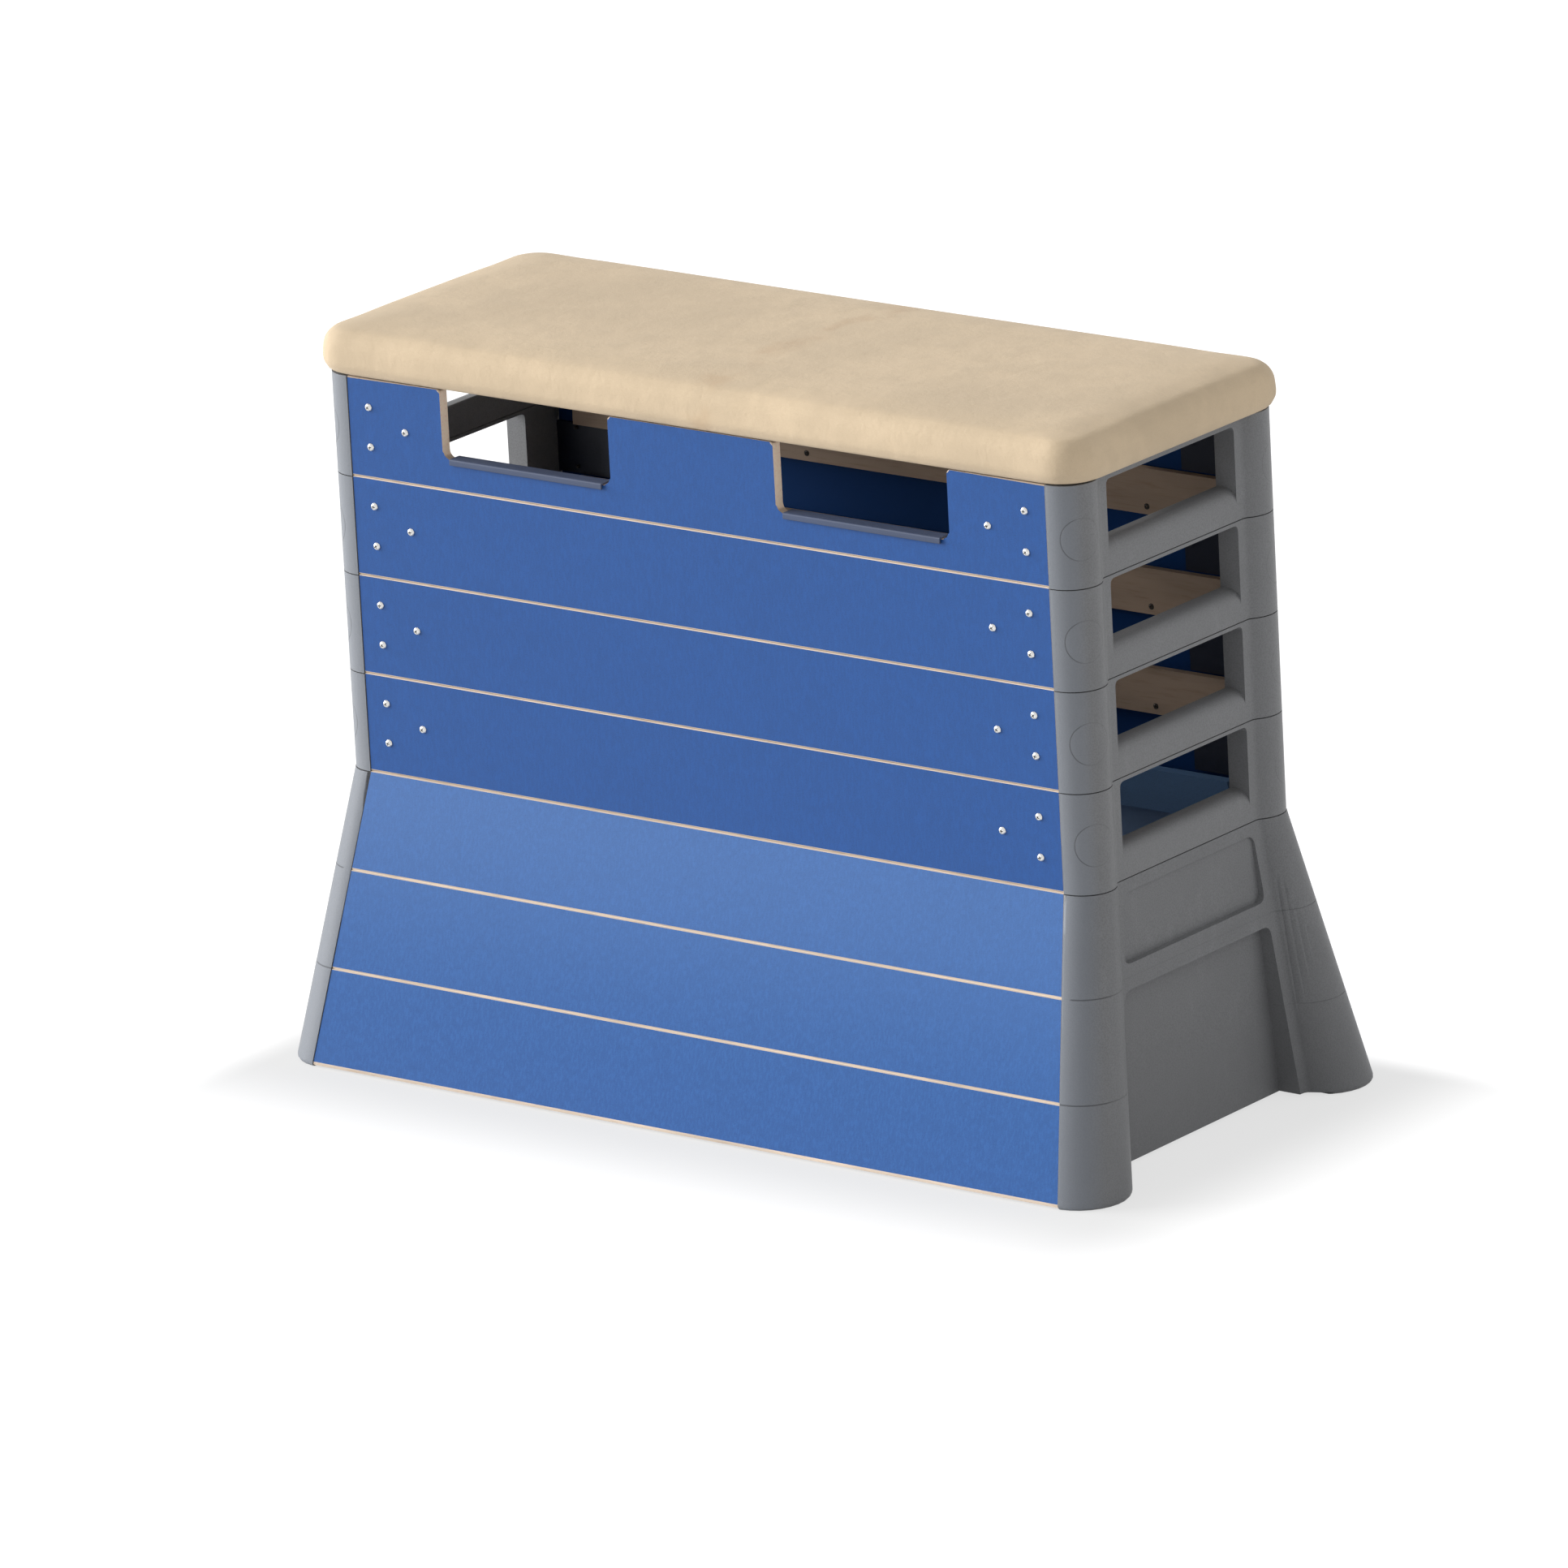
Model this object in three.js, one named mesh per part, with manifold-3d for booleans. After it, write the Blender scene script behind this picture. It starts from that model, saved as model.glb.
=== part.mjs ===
// Vaulting box: a flared base, four stacking sections and a padded top. Millimetres, +Z up.
// The origin is on the floor under the middle of the box, +X is its right end and -Y its front.
import * as THREE from "three";
import { mergeVertices } from "three/addons/utils/BufferGeometryUtils.js";
import Module from "manifold-3d";

const wasm = await Module();
wasm.setup();

// Driving dimensions of the whole box
const baseHeight = 432;
const sectionPitch = 150;
const bodyWidth = 502;
const panelLength = 1260;
const columnReach = 51.7;
const seatGap = 0.3;
const cutOverrun = 20;
const mergeDistance = 0.0001;
const sectionNames = ["fourth", "third", "second", "top"];

// Long plywood panels
const panelThickness = 18;
const panelEndGap = 1.2;
const edgeChamfer = 2.7;

// Hand-hold notches in the top section's panels
const notchEndSpace = 171.5;
const notchWidth = 309;
const notchFloor = 45.5;
const notchRadius = 12;
const notchLipRadius = 5;
const notchSteps = 4;

// Grip strips over the floor of each notch
const stripEndGap = 14.5;
const stripThickness = 3.2;
const stripDrop = 6;
const stripRound = 2.6;
const stripSteps = 3;

// Moulded end frames of the four upper sections
const faceSetback = 15.4;
const columnRadius = 45;
const columnLand = 1.5;
const valleyRadius = 12;
const openingWidth = 307.5;
const openingTopWall = 8;
const openingRadius = 9;
const railHeight = 46;
const railRound = 22;
const railInnerRound = 3;
const columnSteps = 12;
const valleySteps = 3;
const cornerSteps = 3;
const railSteps = 8;

// Inner flanges that the panels are screwed to
const flangeReach = 114;
const flangeThickness = 6;
const flangeLowGap = 2.5;
const flangeHighGap = 2;

// Screws through each panel end and its flange: two in the outer row, one between in the inner row
const screwOuterInset = 37;
const screwInnerInset = 9.8;
const screwHighInset = 6;
const screwLowInset = 10.3;
const screwRadius = 3;
const screwClearance = 0.4;
const screwTip = 5;
const screwHeadRadius = 5.4;
const screwHeadHeight = 3;
const screwSides = 8;
const screwHeadSteps = 2;
const screwedSections = ["second", "top"];

// Guide battens, fixed below each joint and standing up into the section above
const guideThickness = 18;
const guideEndInset = 40;
const guideDrop = 35;
const guideRise = 34;
const guideClearance = 1.5;
const guideLeadHeight = 12;
const guideLeadDepth = 4;

// How much further out the base stands at the floor than at the joint, at each side
const panelSpread = 116.3;
const panelEndSpread = 50.3;
const columnSpread = 64.3;
const faceSpread = 23.5;
const radiusSpread = 25;
const recessSpread = 61.7;
const webLean = 6.5;

// Moulded base ends
const baseLip = 6;
const webSetback = 8;
const footRound = 8;
const footSteps = 3;
const footRise = 5;
const footWidth = 118;
const upperRecessTop = 17;
const upperRecessBottom = 112;
const lowerRecessTop = 150;
const recessRadius = 15;
const recessSteps = 4;

// Base panels, with two milled grooves
const basePanelRise = 3;
const groovePitch = 143.8;
const grooveCount = 2;

// Padded top
const padEndOverhang = 19.3;
const padSideOverhang = 16.5;
const padHeight = 69;
const padCrown = 3;
const padCornerRadius = 62;
const padTopRound = 30;
const padBottomRound = 16;
const padTuck = 12;
const padRimGap = 1.2;
const padCornerSteps = 9;
const padTopSteps = 6;
const padBottomSteps = 3;
const padCrownShares = [0.14, 0.34, 0.6, 0.85];

// Plywood deck that carries the pad
const deckThickness = 12;
const deckInset = 8;
const deckCornerRadius = 60;
const deckCornerSteps = 6;

// Sizes worked out from these
const halfWidth = bodyWidth / 2;
const columnX = panelLength / 2 + columnReach;
const faceX = columnX - faceSetback;
const frameInnerX = panelLength / 2 + panelEndGap;
const panelInnerY = halfWidth - panelThickness;
const padX = columnX + padEndOverhang;
const padY = halfWidth + padSideOverhang;
const notchCentre = panelLength / 2 - notchEndSpace - notchWidth / 2;
const guideX = panelLength / 2 - guideEndInset;
const flangeX = frameInnerX - flangeReach;
const flangeBottom = guideRise + flangeLowGap;
const flangeTop = sectionPitch - guideDrop - flangeHighGap;
const bodyTop = baseHeight + sectionNames.length * sectionPitch;
const slopeThickness = panelThickness * Math.hypot(1, panelSpread / baseHeight);
const overX = columnX + columnSpread + cutOverrun;
const overY = halfWidth + panelSpread + cutOverrun;

// Materials
function finish(color, roughness, metalness = 0) {
  return new THREE.MeshStandardMaterial({ color, roughness, metalness });
}

const blueLaminate = () => finish(0x2f56a0, 0.5);
const baseLaminate = () => finish(0x4670b8, 0.5);
const greyPlastic = () => finish(0x6d7073, 0.65);
const birchPly = () => finish(0xc9b08a, 0.7);
const gripRubber = () => finish(0x4c5a6c, 0.7);
const beigeSuede = () => finish(0xd9c29c, 0.9);
const zincSteel = () => finish(0xc8c9c8, 0.3, 1);

// Solids and geometries
function toSolid(geometry) {
  const source = geometry.clone();
  source.deleteAttribute("normal");
  source.deleteAttribute("uv");
  const merged = mergeVertices(source, mergeDistance);
  return new wasm.Manifold(
    new wasm.Mesh({
      numProp: 3,
      vertProperties: new Float32Array(merged.attributes.position.array),
      triVerts: new Uint32Array(merged.index.array),
    }),
  );
}

function toGeometry(solid) {
  const mesh = solid.getMesh();
  const geometry = new THREE.BufferGeometry();
  geometry.setAttribute("position", new THREE.BufferAttribute(mesh.vertProperties, mesh.numProp));
  geometry.setIndex(new THREE.BufferAttribute(mesh.triVerts, 1));
  const faceted = geometry.toNonIndexed();
  faceted.computeVertexNormals();
  return faceted;
}

function polygon(points) {
  return new THREE.Shape(points.map(([x, y]) => new THREE.Vector2(x, y)));
}

function extrude(shape, depth, steps) {
  return new THREE.ExtrudeGeometry(shape, { depth, bevelEnabled: false, curveSegments: steps });
}

// A shape drawn in Y and Z, extruded from x0 to x1.
function prismX(shape, x0, x1, steps = 1) {
  const turn = new THREE.Matrix4().makeBasis(
    new THREE.Vector3(0, 1, 0),
    new THREE.Vector3(0, 0, 1),
    new THREE.Vector3(1, 0, 0),
  );
  return toSolid(extrude(shape, x1 - x0, steps).applyMatrix4(turn).translate(x0, 0, 0));
}

// A shape drawn in X and Z, extruded from y0 to y1.
function prismY(shape, y0, y1, steps = 1) {
  return toSolid(extrude(shape, y1 - y0, steps).rotateX(Math.PI / 2).translate(0, y1, 0));
}

function block(x0, x1, y0, y1, z0, z1) {
  const geometry = new THREE.BoxGeometry(x1 - x0, y1 - y0, z1 - z0);
  geometry.translate((x0 + x1) / 2, (y0 + y1) / 2, (z0 + z1) / 2);
  return toSolid(geometry);
}

function joined(...solids) {
  return solids.reduce((whole, piece) => whole.add(piece));
}

// Points of an arc, both ends included.
function arc(x, y, radius, from, to, steps) {
  return Array.from({ length: steps + 1 }, (_, i) => {
    const angle = from + ((to - from) * i) / steps;
    return [x + radius * Math.cos(angle), y + radius * Math.sin(angle)];
  });
}

// A closed skin through rings of points that run counter-clockwise seen from above, lowest first.
function loft(rings) {
  const count = rings[0].length;
  const positions = rings.flat().flatMap((p) => [p.x, p.y, p.z]);
  const faces = [];
  for (let ring = 0; ring < rings.length - 1; ring++) {
    for (let i = 0; i < count; i++) {
      const a = ring * count + i;
      const b = ring * count + ((i + 1) % count);
      faces.push(a, b, b + count, a, b + count, a + count);
    }
  }
  const flat = (ring) => ring.map((p) => new THREE.Vector2(p.x, p.y));
  const lastRing = (rings.length - 1) * count;
  for (const [a, b, c] of THREE.ShapeUtils.triangulateShape(flat(rings[0]), [])) {
    faces.push(a, c, b);
  }
  for (const [a, b, c] of THREE.ShapeUtils.triangulateShape(flat(rings.at(-1)), [])) {
    faces.push(lastRing + a, lastRing + b, lastRing + c);
  }
  const geometry = new THREE.BufferGeometry();
  geometry.setAttribute("position", new THREE.Float32BufferAttribute(positions, 3));
  geometry.setIndex(faces);
  return toSolid(geometry.toNonIndexed());
}

// Front half of an end moulding's plan, from the panel's end round the column to the flat face.
// Where the column is wider than the space beyond the panel, its arc starts part of the way round.
function columnPlan(panelEndX, outerX, outerY, radius, flatX) {
  const centreX = outerX - radius;
  const start = -Math.acos(Math.max(0, panelEndX + columnLand - centreX) / radius);
  const centreY = outerY + radius * Math.sin(start);
  const reach = radius + valleyRadius;
  const valley = Math.acos((flatX + valleyRadius - centreX) / reach);
  const valleyY = -centreY + reach * Math.sin(valley);
  return [
    [panelEndX, -outerY],
    ...arc(centreX, -centreY, radius, start, valley, columnSteps),
    ...arc(flatX + valleyRadius, valleyY, valleyRadius, Math.PI + valley, Math.PI, valleySteps).slice(1),
  ];
}

function mirrored(points) {
  return points.map(([x, y]) => [x, -y]).reverse();
}

// A window drawn in Y and Z, wider at the bottom where the sides spread, with rounded corners.
function windowShape(topZ, bottomZ, topHalf, bottomHalf, topRadius, bottomRadius) {
  const corners = [
    [-bottomHalf, bottomZ, bottomRadius],
    [bottomHalf, bottomZ, bottomRadius],
    [topHalf, topZ, topRadius],
    [-topHalf, topZ, topRadius],
  ];
  const shape = new THREE.Shape();
  corners.forEach(([y, z, radius], i) => {
    const here = new THREE.Vector2(y, z);
    const [beforeY, beforeZ] = corners.at(i - 1);
    const [afterY, afterZ] = corners[(i + 1) % corners.length];
    const before = new THREE.Vector2(beforeY, beforeZ).sub(here).setLength(radius).add(here);
    const after = new THREE.Vector2(afterY, afterZ).sub(here).setLength(radius).add(here);
    if (i === 0) shape.moveTo(before.x, before.y);
    else shape.lineTo(before.x, before.y);
    if (radius > 0) shape.quadraticCurveTo(y, z, after.x, after.y);
  });
  shape.closePath();
  return shape;
}

// Places of the three screws at a panel's right end, in X and Z.
function screwPlaces() {
  const outerX = panelLength / 2 - screwOuterInset;
  const high = flangeTop - screwHighInset;
  const low = flangeBottom + screwLowInset;
  return {
    upper: [outerX, high],
    middle: [flangeX + screwInnerInset, (high + low) / 2],
    lower: [outerX, low],
  };
}

// Cutters for the screw holes of one long side, from y0 to y1, at both ends of the panel.
function screwHoles(y0, y1) {
  const radius = screwRadius + screwClearance;
  const circle = (x, z) => polygon(arc(x, z, radius, 0, 2 * Math.PI, screwSides).slice(1));
  const holes = Object.values(screwPlaces()).flatMap(([x, z]) => [circle(x, z), circle(-x, z)]);
  return joined(...holes.map((hole) => prismY(hole, y0, y1)));
}

// A domed screw along Y with its head's underside on the panel's face.
function screwSolid() {
  const length = panelThickness + seatGap + flangeThickness + screwTip;
  const dome = arc(0, 0, 1, -Math.PI / 2, 0, screwHeadSteps).slice(1);
  const profile = [
    [0, -screwHeadHeight],
    ...dome.map(([x, y]) => [x * screwHeadRadius, y * screwHeadHeight]),
    [screwRadius, 0],
    [screwRadius, length],
    [0, length],
  ];
  const points = profile.map(([x, y]) => new THREE.Vector2(x, y));
  return toSolid(new THREE.LatheGeometry(points, screwSides));
}

// Upper sections, each modelled with the top of the part below it at Z = 0
function railSolid() {
  const innerX = frameInnerX + railInnerRound;
  const innerZ = railHeight - railInnerRound;
  const profile = polygon([
    [frameInnerX, seatGap],
    [faceX, seatGap],
    ...arc(faceX - railRound, railHeight - railRound, railRound, 0, Math.PI / 2, railSteps),
    ...arc(innerX, innerZ, railInnerRound, Math.PI / 2, Math.PI, cornerSteps),
  ]);
  return prismY(profile, -openingWidth / 2 - openingRadius, openingWidth / 2 + openingRadius);
}

function upperEnd() {
  const corner = columnPlan(frameInnerX, columnX, halfWidth, columnRadius, faceX);
  const plan = polygon([...corner, ...mirrored(corner)]);
  const frame = toSolid(extrude(plan, sectionPitch - seatGap, 1).translate(0, 0, seatGap));
  const half = openingWidth / 2;
  const top = sectionPitch - openingTopWall;
  const opening = windowShape(top, railHeight - railRound, half, half, openingRadius, 0);
  const hole = prismX(opening, frameInnerX - cutOverrun, columnX + cutOverrun, cornerSteps);
  const outerY = panelInnerY - seatGap;
  const innerY = outerY - flangeThickness;
  const postX = frameInnerX + flangeThickness;
  return joined(
    frame.subtract(hole),
    railSolid(),
    block(flangeX, postX, -outerY, -innerY, flangeBottom, flangeTop),
    block(flangeX, postX, innerY, outerY, flangeBottom, flangeTop),
  )
    .subtract(screwHoles(-outerY, -innerY))
    .subtract(screwHoles(innerY, outerY));
}

// The panel's section, with its face at -Y and both outer edges chamfered.
function panelProfile() {
  return polygon([
    [-halfWidth + edgeChamfer, seatGap],
    [-panelInnerY, seatGap],
    [-panelInnerY, sectionPitch],
    [-halfWidth + edgeChamfer, sectionPitch],
    [-halfWidth, sectionPitch - edgeChamfer],
    [-halfWidth, seatGap + edgeChamfer],
  ]);
}

function plainPanel() {
  const board = prismX(panelProfile(), -panelLength / 2, panelLength / 2);
  return board.subtract(screwHoles(-halfWidth - cutOverrun, -panelInnerY + cutOverrun));
}

// One notch, open at the top, as a cutter.
function notchCutter(centre) {
  const left = centre - notchWidth / 2;
  const right = centre + notchWidth / 2;
  const lipZ = sectionPitch - notchLipRadius;
  const floorZ = notchFloor + notchRadius;
  const above = sectionPitch + cutOverrun;
  const shape = polygon([
    ...arc(left - notchLipRadius, lipZ, notchLipRadius, Math.PI / 2, 0, notchSteps),
    ...arc(left + notchRadius, floorZ, notchRadius, Math.PI, 1.5 * Math.PI, notchSteps),
    ...arc(right - notchRadius, floorZ, notchRadius, 1.5 * Math.PI, 2 * Math.PI, notchSteps),
    ...arc(right + notchLipRadius, lipZ, notchLipRadius, Math.PI, Math.PI / 2, notchSteps),
    [right + notchLipRadius, above],
    [left - notchLipRadius, above],
  ]);
  return prismY(shape, -halfWidth - cutOverrun, -panelInnerY + cutOverrun);
}

function notchedPanel() {
  return plainPanel().subtract(notchCutter(-notchCentre)).subtract(notchCutter(notchCentre));
}

// A strip folded over the notch's floor, hugging both faces of the panel.
function gripStrip(centre) {
  const insideFront = -halfWidth - seatGap;
  const insideBack = -panelInnerY + seatGap;
  const front = insideFront - stripThickness;
  const back = insideBack + stripThickness;
  const low = notchFloor - stripDrop;
  const under = notchFloor + seatGap;
  const top = under + stripThickness;
  const profile = polygon([
    [front, low],
    [insideFront, low],
    [insideFront, under],
    [insideBack, under],
    [insideBack, low],
    [back, low],
    ...arc(back - stripRound, top - stripRound, stripRound, 0, Math.PI / 2, stripSteps),
    ...arc(front + stripRound, top - stripRound, stripRound, Math.PI / 2, Math.PI, stripSteps),
  ]);
  const half = notchWidth / 2 - stripEndGap;
  return prismX(profile, centre - half, centre + half);
}

// A batten inside the joint: its lower half is fixed, its upper half guides the next section.
function guideBatten() {
  const outer = -panelInnerY + seatGap;
  const inner = outer + guideThickness;
  const loose = outer + guideClearance;
  const joint = sectionPitch;
  const profile = polygon([
    [outer, joint - guideDrop],
    [inner, joint - guideDrop],
    [inner, joint + guideRise],
    [loose + guideLeadDepth, joint + guideRise],
    [loose, joint + guideRise - guideLeadHeight],
    [loose, joint],
    [outer, joint],
  ]);
  return prismX(profile, -guideX, guideX);
}

// Base, modelled from the floor up
const shareAt = (z) => (baseHeight - z) / baseHeight;
const panelOuterAt = (z) => halfWidth + panelSpread * shareAt(z);
const panelInnerAt = (z) => panelOuterAt(z) - slopeThickness;
const recessHalfAt = (z) => openingWidth / 2 + recessSpread * shareAt(z);
const webAt = (z) => faceX - webSetback - webLean * shareAt(z);

function baseRing(z, inset) {
  const share = shareAt(z);
  const endX = frameInnerX + panelEndSpread * share;
  const corner = columnPlan(
    endX,
    columnX + columnSpread * share - inset,
    panelOuterAt(z) - inset,
    columnRadius + radiusSpread * share - inset,
    faceX + faceSpread * share - inset,
  );
  const behindPanel = panelInnerAt(z) - seatGap;
  const half = [[frameInnerX - baseLip, -behindPanel], [endX, -behindPanel], ...corner];
  return [...half, ...mirrored(half)].map(([x, y]) => new THREE.Vector3(x, y, z));
}

function baseEnd() {
  const rings = Array.from({ length: footSteps + 1 }, (_, i) => {
    const angle = (Math.PI / 2) * (i / footSteps);
    return baseRing(footRound * (1 - Math.cos(angle)), footRound * (1 - Math.sin(angle)));
  });
  const whole = loft([...rings, baseRing(baseHeight, 0)]);
  const window = (topZ, bottomZ, bottomRadius) =>
    prismX(
      windowShape(topZ, bottomZ, recessHalfAt(topZ), recessHalfAt(bottomZ), recessRadius, bottomRadius),
      frameInnerX,
      overX,
      recessSteps,
    );
  const windows = joined(
    window(baseHeight - upperRecessTop, baseHeight - upperRecessBottom, recessRadius),
    window(baseHeight - lowerRecessTop, -cutOverrun, 0),
  );
  const outsideWeb = polygon([
    [webAt(-cutOverrun), -cutOverrun],
    [overX, -cutOverrun],
    [overX, baseHeight],
    [webAt(baseHeight), baseHeight],
  ]);
  const recesses = windows.intersect(prismY(outsideWeb, -overY, overY));
  const footInner = panelOuterAt(0) - footWidth;
  const underWeb = block(0, overX, -footInner, footInner, -cutOverrun, footRise);
  return whole.subtract(recesses).subtract(underWeb);
}

// The sloping panel's section: a chamfer at both ends and the milled grooves between.
function basePanelProfile() {
  const slope = panelSpread / baseHeight;
  const face = (z, depth) => [-panelOuterAt(z) + depth, z];
  const points = [[-panelInnerAt(baseHeight), baseHeight]];
  points.push(face(baseHeight, edgeChamfer));
  points.push(face(baseHeight - edgeChamfer, 0));
  for (let i = 1; i <= grooveCount; i++) {
    const z = baseHeight - i * groovePitch;
    points.push(face(z + edgeChamfer, 0));
    points.push(face(z, edgeChamfer));
    points.push(face(z - edgeChamfer, 0));
  }
  points.push(face(basePanelRise + edgeChamfer, 0));
  points.push(face(basePanelRise, edgeChamfer + slope * edgeChamfer));
  points.push([-panelInnerAt(basePanelRise), basePanelRise]);
  return polygon(points);
}

function basePanel() {
  const endAt = (z) => panelLength / 2 + panelEndSpread * shareAt(z);
  const sides = polygon([
    [-endAt(0), 0],
    [endAt(0), 0],
    [endAt(baseHeight), baseHeight],
    [-endAt(baseHeight), baseHeight],
  ]);
  const sheet = prismX(basePanelProfile(), -overX, overX);
  return sheet.intersect(prismY(sides, -overY, 0));
}

// A batten on the sloping panel, leaning in as it stands up into the lowest section.
function baseGuide() {
  const low = baseHeight - guideDrop;
  const high = baseHeight + guideRise;
  const outerAt = (z) => -panelInnerAt(z) + seatGap;
  const thickness = (guideThickness * slopeThickness) / panelThickness;
  const profile = polygon([
    [outerAt(low), low],
    [outerAt(low) + thickness, low],
    [outerAt(high) + thickness, high],
    [outerAt(high), high],
  ]);
  return prismX(profile, -guideX, guideX);
}

// Pad and deck, modelled with the top of the box at Z = 0
function roundedRectangle(halfX, halfY, radius, steps) {
  const x = halfX - radius;
  const y = halfY - radius;
  const corners = [
    [x, -y, -Math.PI / 2],
    [x, y, 0],
    [-x, y, Math.PI / 2],
    [-x, -y, Math.PI],
  ];
  return corners.flatMap(([cx, cy, from]) => arc(cx, cy, radius, from, from + Math.PI / 2, steps));
}

function padRing(inset, z) {
  const radius = Math.max(padCornerRadius - inset, padBottomRound);
  const points = roundedRectangle(padX - inset, padY - inset, radius, padCornerSteps);
  return points.map(([x, y]) => new THREE.Vector3(x, y, z));
}

function padSolid() {
  const bottom = Array.from({ length: padBottomSteps + 1 }, (_, i) => {
    const angle = (Math.PI / 2) * (i / padBottomSteps);
    return padRing(padTuck * (1 - Math.sin(angle)), padRimGap + padBottomRound * (1 - Math.cos(angle)));
  });
  const shoulder = padHeight - padTopRound;
  const top = Array.from({ length: padTopSteps + 1 }, (_, i) => {
    const angle = (Math.PI / 2) * (i / padTopSteps);
    return padRing(padTopRound * (1 - Math.cos(angle)), shoulder + padTopRound * Math.sin(angle));
  });
  const crown = padCrownShares.map((share) => {
    const inset = padTopRound + (padY - padTopRound - padBottomRound) * share;
    return padRing(inset, padHeight + padCrown * Math.sin((Math.PI / 2) * share));
  });
  return loft([...bottom, ...top, ...crown]);
}

// The deck lies on the panels and end frames, in the pad's underside, and carries the pad.
function deckSolid(clearance) {
  const x = columnX - deckInset + clearance;
  const y = halfWidth - deckInset + clearance;
  const plan = polygon(roundedRectangle(x, y, deckCornerRadius + clearance, deckCornerSteps));
  const depth = deckThickness + 2 * clearance;
  return toSolid(extrude(plan, depth, 1).translate(0, 0, seatGap - clearance));
}

// Scene graph
const box = new THREE.Group();

function place(parent, name, solid, material) {
  const mesh = new THREE.Mesh(toGeometry(solid), material);
  mesh.name = name;
  parent.add(mesh);
  return mesh;
}

// The same solid twice: as modelled, and turned half round the vertical axis.
function placePair(parent, prefix, here, there, solid, material) {
  place(parent, `${prefix}_${here}`, solid, material());
  place(parent, `${prefix}_${there}`, solid, material()).rotation.z = Math.PI;
}

function placeScrews(parent, prefix) {
  for (const [row, [x, z]] of Object.entries(screwPlaces())) {
    for (const [end, sign] of Object.entries({ left: -1, right: 1 })) {
      const front = place(parent, `${prefix}_screw_front_${end}_${row}`, screwSolid(), zincSteel());
      front.position.set(sign * x, -halfWidth - seatGap, z);
      const back = place(parent, `${prefix}_screw_back_${end}_${row}`, screwSolid(), zincSteel());
      back.position.set(sign * x, halfWidth + seatGap, z);
      back.rotation.z = Math.PI;
    }
  }
}

const base = new THREE.Group();
placePair(base, "base_end", "right", "left", baseEnd(), greyPlastic);
placePair(base, "base_panel", "front", "back", basePanel(), baseLaminate);
placePair(base, "base_guide", "front", "back", baseGuide(), baseLaminate);
box.add(base);

sectionNames.forEach((name, i) => {
  const section = new THREE.Group();
  const isTop = name === "top";
  section.position.z = baseHeight + i * sectionPitch;
  placePair(section, `${name}_end`, "right", "left", upperEnd(), greyPlastic);
  const panel = isTop ? notchedPanel() : plainPanel();
  placePair(section, `${name}_panel`, "front", "back", panel, blueLaminate);
  if (isTop) {
    placePair(section, "grip_strip", "front_left", "back_right", gripStrip(-notchCentre), gripRubber);
    placePair(section, "grip_strip", "front_right", "back_left", gripStrip(notchCentre), gripRubber);
  } else {
    placePair(section, `${name}_guide`, "front", "back", guideBatten(), birchPly);
  }
  if (screwedSections.includes(name)) placeScrews(section, name);
  box.add(section);
});

const cover = new THREE.Group();
cover.position.z = bodyTop;
place(cover, "deck_board", deckSolid(0), birchPly());
place(cover, "pad", padSolid().subtract(deckSolid(seatGap)), beigeSuede());
box.add(cover);

export default box;
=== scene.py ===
"""The vaulting box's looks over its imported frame: materials, pieces, stage, light and camera."""

import math

import bmesh
import bpy
import numpy as np
from mathutils import Matrix, Vector


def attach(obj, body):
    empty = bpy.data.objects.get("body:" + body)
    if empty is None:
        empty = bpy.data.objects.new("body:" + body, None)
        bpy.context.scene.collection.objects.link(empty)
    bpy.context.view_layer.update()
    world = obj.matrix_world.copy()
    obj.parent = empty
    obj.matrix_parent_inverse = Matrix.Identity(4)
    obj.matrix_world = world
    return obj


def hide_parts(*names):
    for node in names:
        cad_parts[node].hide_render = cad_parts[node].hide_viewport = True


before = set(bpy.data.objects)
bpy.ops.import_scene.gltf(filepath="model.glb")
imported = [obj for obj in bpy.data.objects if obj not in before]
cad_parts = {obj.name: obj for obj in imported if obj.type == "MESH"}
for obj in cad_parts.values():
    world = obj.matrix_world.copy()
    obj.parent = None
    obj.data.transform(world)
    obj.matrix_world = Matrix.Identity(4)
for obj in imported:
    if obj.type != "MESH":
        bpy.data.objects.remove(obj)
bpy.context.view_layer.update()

# Sizes that repeat the frame's, in metres
SECTIONS = ("fourth", "third", "second", "top")
BASE_HEIGHT = 0.432
PITCH = 0.150
HALF_WIDTH = 0.251
HALF_LENGTH = 0.630
PANEL_THICKNESS = 0.018
SEAT_GAP = 0.0003
PANEL_SPREAD = 0.1163
GROOVE_PITCH = 0.1438
PANEL_RISE = 0.003
NOTCH_CENTRE = 0.304
NOTCH_WIDTH = 0.309
NOTCH_FLOOR = 0.0455
NOTCH_RADIUS = 0.012
NOTCH_LIP = 0.005
FRAME_INNER_X = 0.6312
RECESS_HALF = 0.15375
RECESS_SPREAD = 0.0617
FACE_SPREAD = 0.0235
WEB_LIMIT = 0.662
COLUMN_X = 0.6817
COLUMN_RADIUS = 0.045
COLUMN_SPREAD = 0.0643
FLANGE_THICKNESS = 0.006
PANEL_END_SPREAD = 0.0503
COLUMN_LAND = 0.0015
RADIUS_SPREAD = 0.025
COLUMN_LEVEL = 0.0079
VALLEY_RADIUS = 0.012
FACE_SETBACK = 0.0154
GUIDE_THICKNESS = 0.018
DECK_X = 0.6737
DECK_Y = 0.243
DECK_CORNER = 0.060
DECK_TOP = 0.0123
PAD_RIM_GAP = 0.0012

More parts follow.
